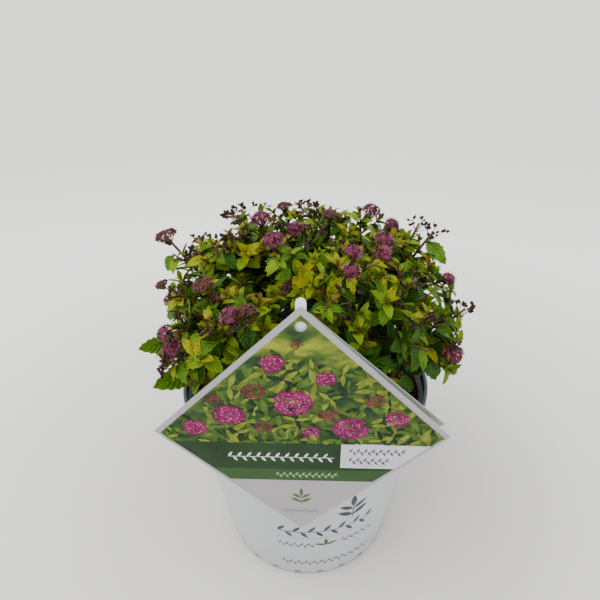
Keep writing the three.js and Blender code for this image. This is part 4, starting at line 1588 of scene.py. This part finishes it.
class SPIREA_OT_pot_print(bpy.types.Operator):
    """Print sprigs and garlands on the pot's film"""

    bl_idname = "spirea.pot_print"
    bl_label = "Pot print"

    def execute(self, context):
        for name, (places, hex_colour) in POT_PRINTS.items():
            bm = leaf_print(places)
            if name == "rule":
                middle = Matrix.Translation((0, 0, -RULE.height))
                bmesh.ops.scale(bm, vec=(1, 1, RULE.thinness), space=middle, verts=bm.verts)
            for vert in bm.verts:
                radius = wall_radius(vert.co.z) + LAYERS.wrap
                turn = vert.co.x / radius - math.pi / 2 + PRINT_TURN
                vert.co = radius * math.cos(turn), radius * math.sin(turn), vert.co.z
            piece(f"pot_print_{name}", bm, "pot", ink_finish(f"{name}_pot_ink", linear(hex_colour)))
        return {"FINISHED"}


# ---- The stage ----

SWEEP = SimpleNamespace(floor=1500, bend=700, bend_steps=12, wall_height=1500, steps=96)
AMBIENT = SimpleNamespace(colour=(0.98, 0.985, 1.0, 1), strength=1.5)
# In metres: the softboxes' widths and places, and the point that both face.
SOFTBOXES = {"key": (1.1, (-0.45, -0.3, 1.15)), "fill": (0.9, (1.1, -0.4, 0.7))}
SOFTBOX_TARGET = Vector((0, 0, 0.12))
CAMERA = SimpleNamespace(place=Vector((-1.3, -270.3, 355.7)), turn=0.16, drop=30.22, roll=-1.5)


class SPIREA_OT_studio(bpy.types.Operator):
    """Make the pale sweep, the soft lights and the camera"""

    bl_idname = "spirea.studio"
    bl_label = "Studio"

    def execute(self, context):
        scene, settings = context.scene, context.scene.spirea_studio
        bend = [
            (SWEEP.floor + SWEEP.bend * math.sin(turn), SWEEP.bend - SWEEP.bend * math.cos(turn))
            for turn in np.linspace(0, math.pi / 2, SWEEP.bend_steps)
        ]
        wall = SWEEP.floor + SWEEP.bend, SWEEP.wall_height
        bm = lathe([(0, 0), (400, 0), (1000, 0), *bend, wall], SWEEP.steps)
        bmesh.ops.reverse_faces(bm, faces=bm.faces)
        sweep = piece("studio_sweep", bm, None, sweep_finish(settings.floor, settings.wall))
        sweep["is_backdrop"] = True

        scene.world = bpy.data.worlds.new("studio")
        scene.world.use_nodes = True
        background = scene.world.node_tree.nodes["Background"]
        background.inputs["Color"].default_value = AMBIENT.colour
        background.inputs["Strength"].default_value = AMBIENT.strength
        for name, (width, place) in SOFTBOXES.items():
            data = bpy.data.lights.new(f"{name}_softbox", "AREA")
            data.energy, data.size, data.shape = getattr(settings, name), width, "DISK"
            light = bpy.data.objects.new(data.name, data)
            scene.collection.objects.link(light)
            aim = (SOFTBOX_TARGET - Vector(place)).to_track_quat("-Z", "Y").to_matrix().to_4x4()
            light.matrix_world = Matrix.Translation(place) @ aim

        data = bpy.data.cameras.new("camera")
        data.lens, data.sensor_width = settings.lens, 36
        scene.camera = bpy.data.objects.new("camera", data)
        scene.collection.objects.link(scene.camera)
        scene.camera.matrix_world = (
            Matrix.Translation(CAMERA.place * MM)
            @ Matrix.Rotation(math.radians(CAMERA.turn), 4, "Z")
            @ Matrix.Rotation(math.radians(90 - CAMERA.drop), 4, "X")
            @ Matrix.Rotation(math.radians(CAMERA.roll), 4, "Z")
        )
        return {"FINISHED"}


# ---- The sidebar and the run ----

PIECES = (
    SPIREA_OT_framework,
    SPIREA_OT_twigs,
    SPIREA_OT_leaves,
    SPIREA_OT_heads,
    SPIREA_OT_pot,
    SPIREA_OT_compost,
    SPIREA_OT_label,
    SPIREA_OT_pot_print,
    SPIREA_OT_studio,
)
SETTINGS = {
    "spirea_plant": SpireaPlantSettings,
    "spirea_heads": SpireaHeadSettings,
    "spirea_pot": SpireaPotSettings,
    "spirea_label": SpireaLabelSettings,
    "spirea_studio": SpireaStudioSettings,
}


class SPIREA_PT_sidebar(bpy.types.Panel):
    """The plant's settings and the operators that make it"""

    bl_idname = "SPIREA_PT_sidebar"
    bl_label = "Potted spirea"
    bl_space_type = "VIEW_3D"
    bl_region_type = "UI"
    bl_category = "Spirea"

    def draw(self, context):
        for name, group in SETTINGS.items():
            box = self.layout.box()
            for setting in group.__annotations__:
                box.prop(getattr(context.scene, name), setting)
        for operator in PIECES:
            self.layout.operator(operator.bl_idname)


def register():
    for group in (*SETTINGS.values(), *PIECES, SPIREA_PT_sidebar):
        bpy.utils.register_class(group)
    for name, group in SETTINGS.items():
        setattr(bpy.types.Scene, name, PointerProperty(type=group))


def unregister():
    for name in SETTINGS:
        delattr(bpy.types.Scene, name)
    for group in reversed((*SETTINGS.values(), *PIECES, SPIREA_PT_sidebar)):
        bpy.utils.unregister_class(group)


def main():
    register()
    bpy.ops.spirea.framework()
    bpy.ops.spirea.twigs()
    bpy.ops.spirea.leaves()
    bpy.ops.spirea.heads()
    bpy.ops.spirea.pot()
    bpy.ops.spirea.compost()
    bpy.ops.spirea.label()
    bpy.ops.spirea.pot_print()
    bpy.ops.spirea.studio()
    sizes = {"cad": CAD_BOX, "visual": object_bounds()}
    {name: [list(corner) for corner in box] for name, box in sizes.items()}


if __name__ == "__main__":
    main()
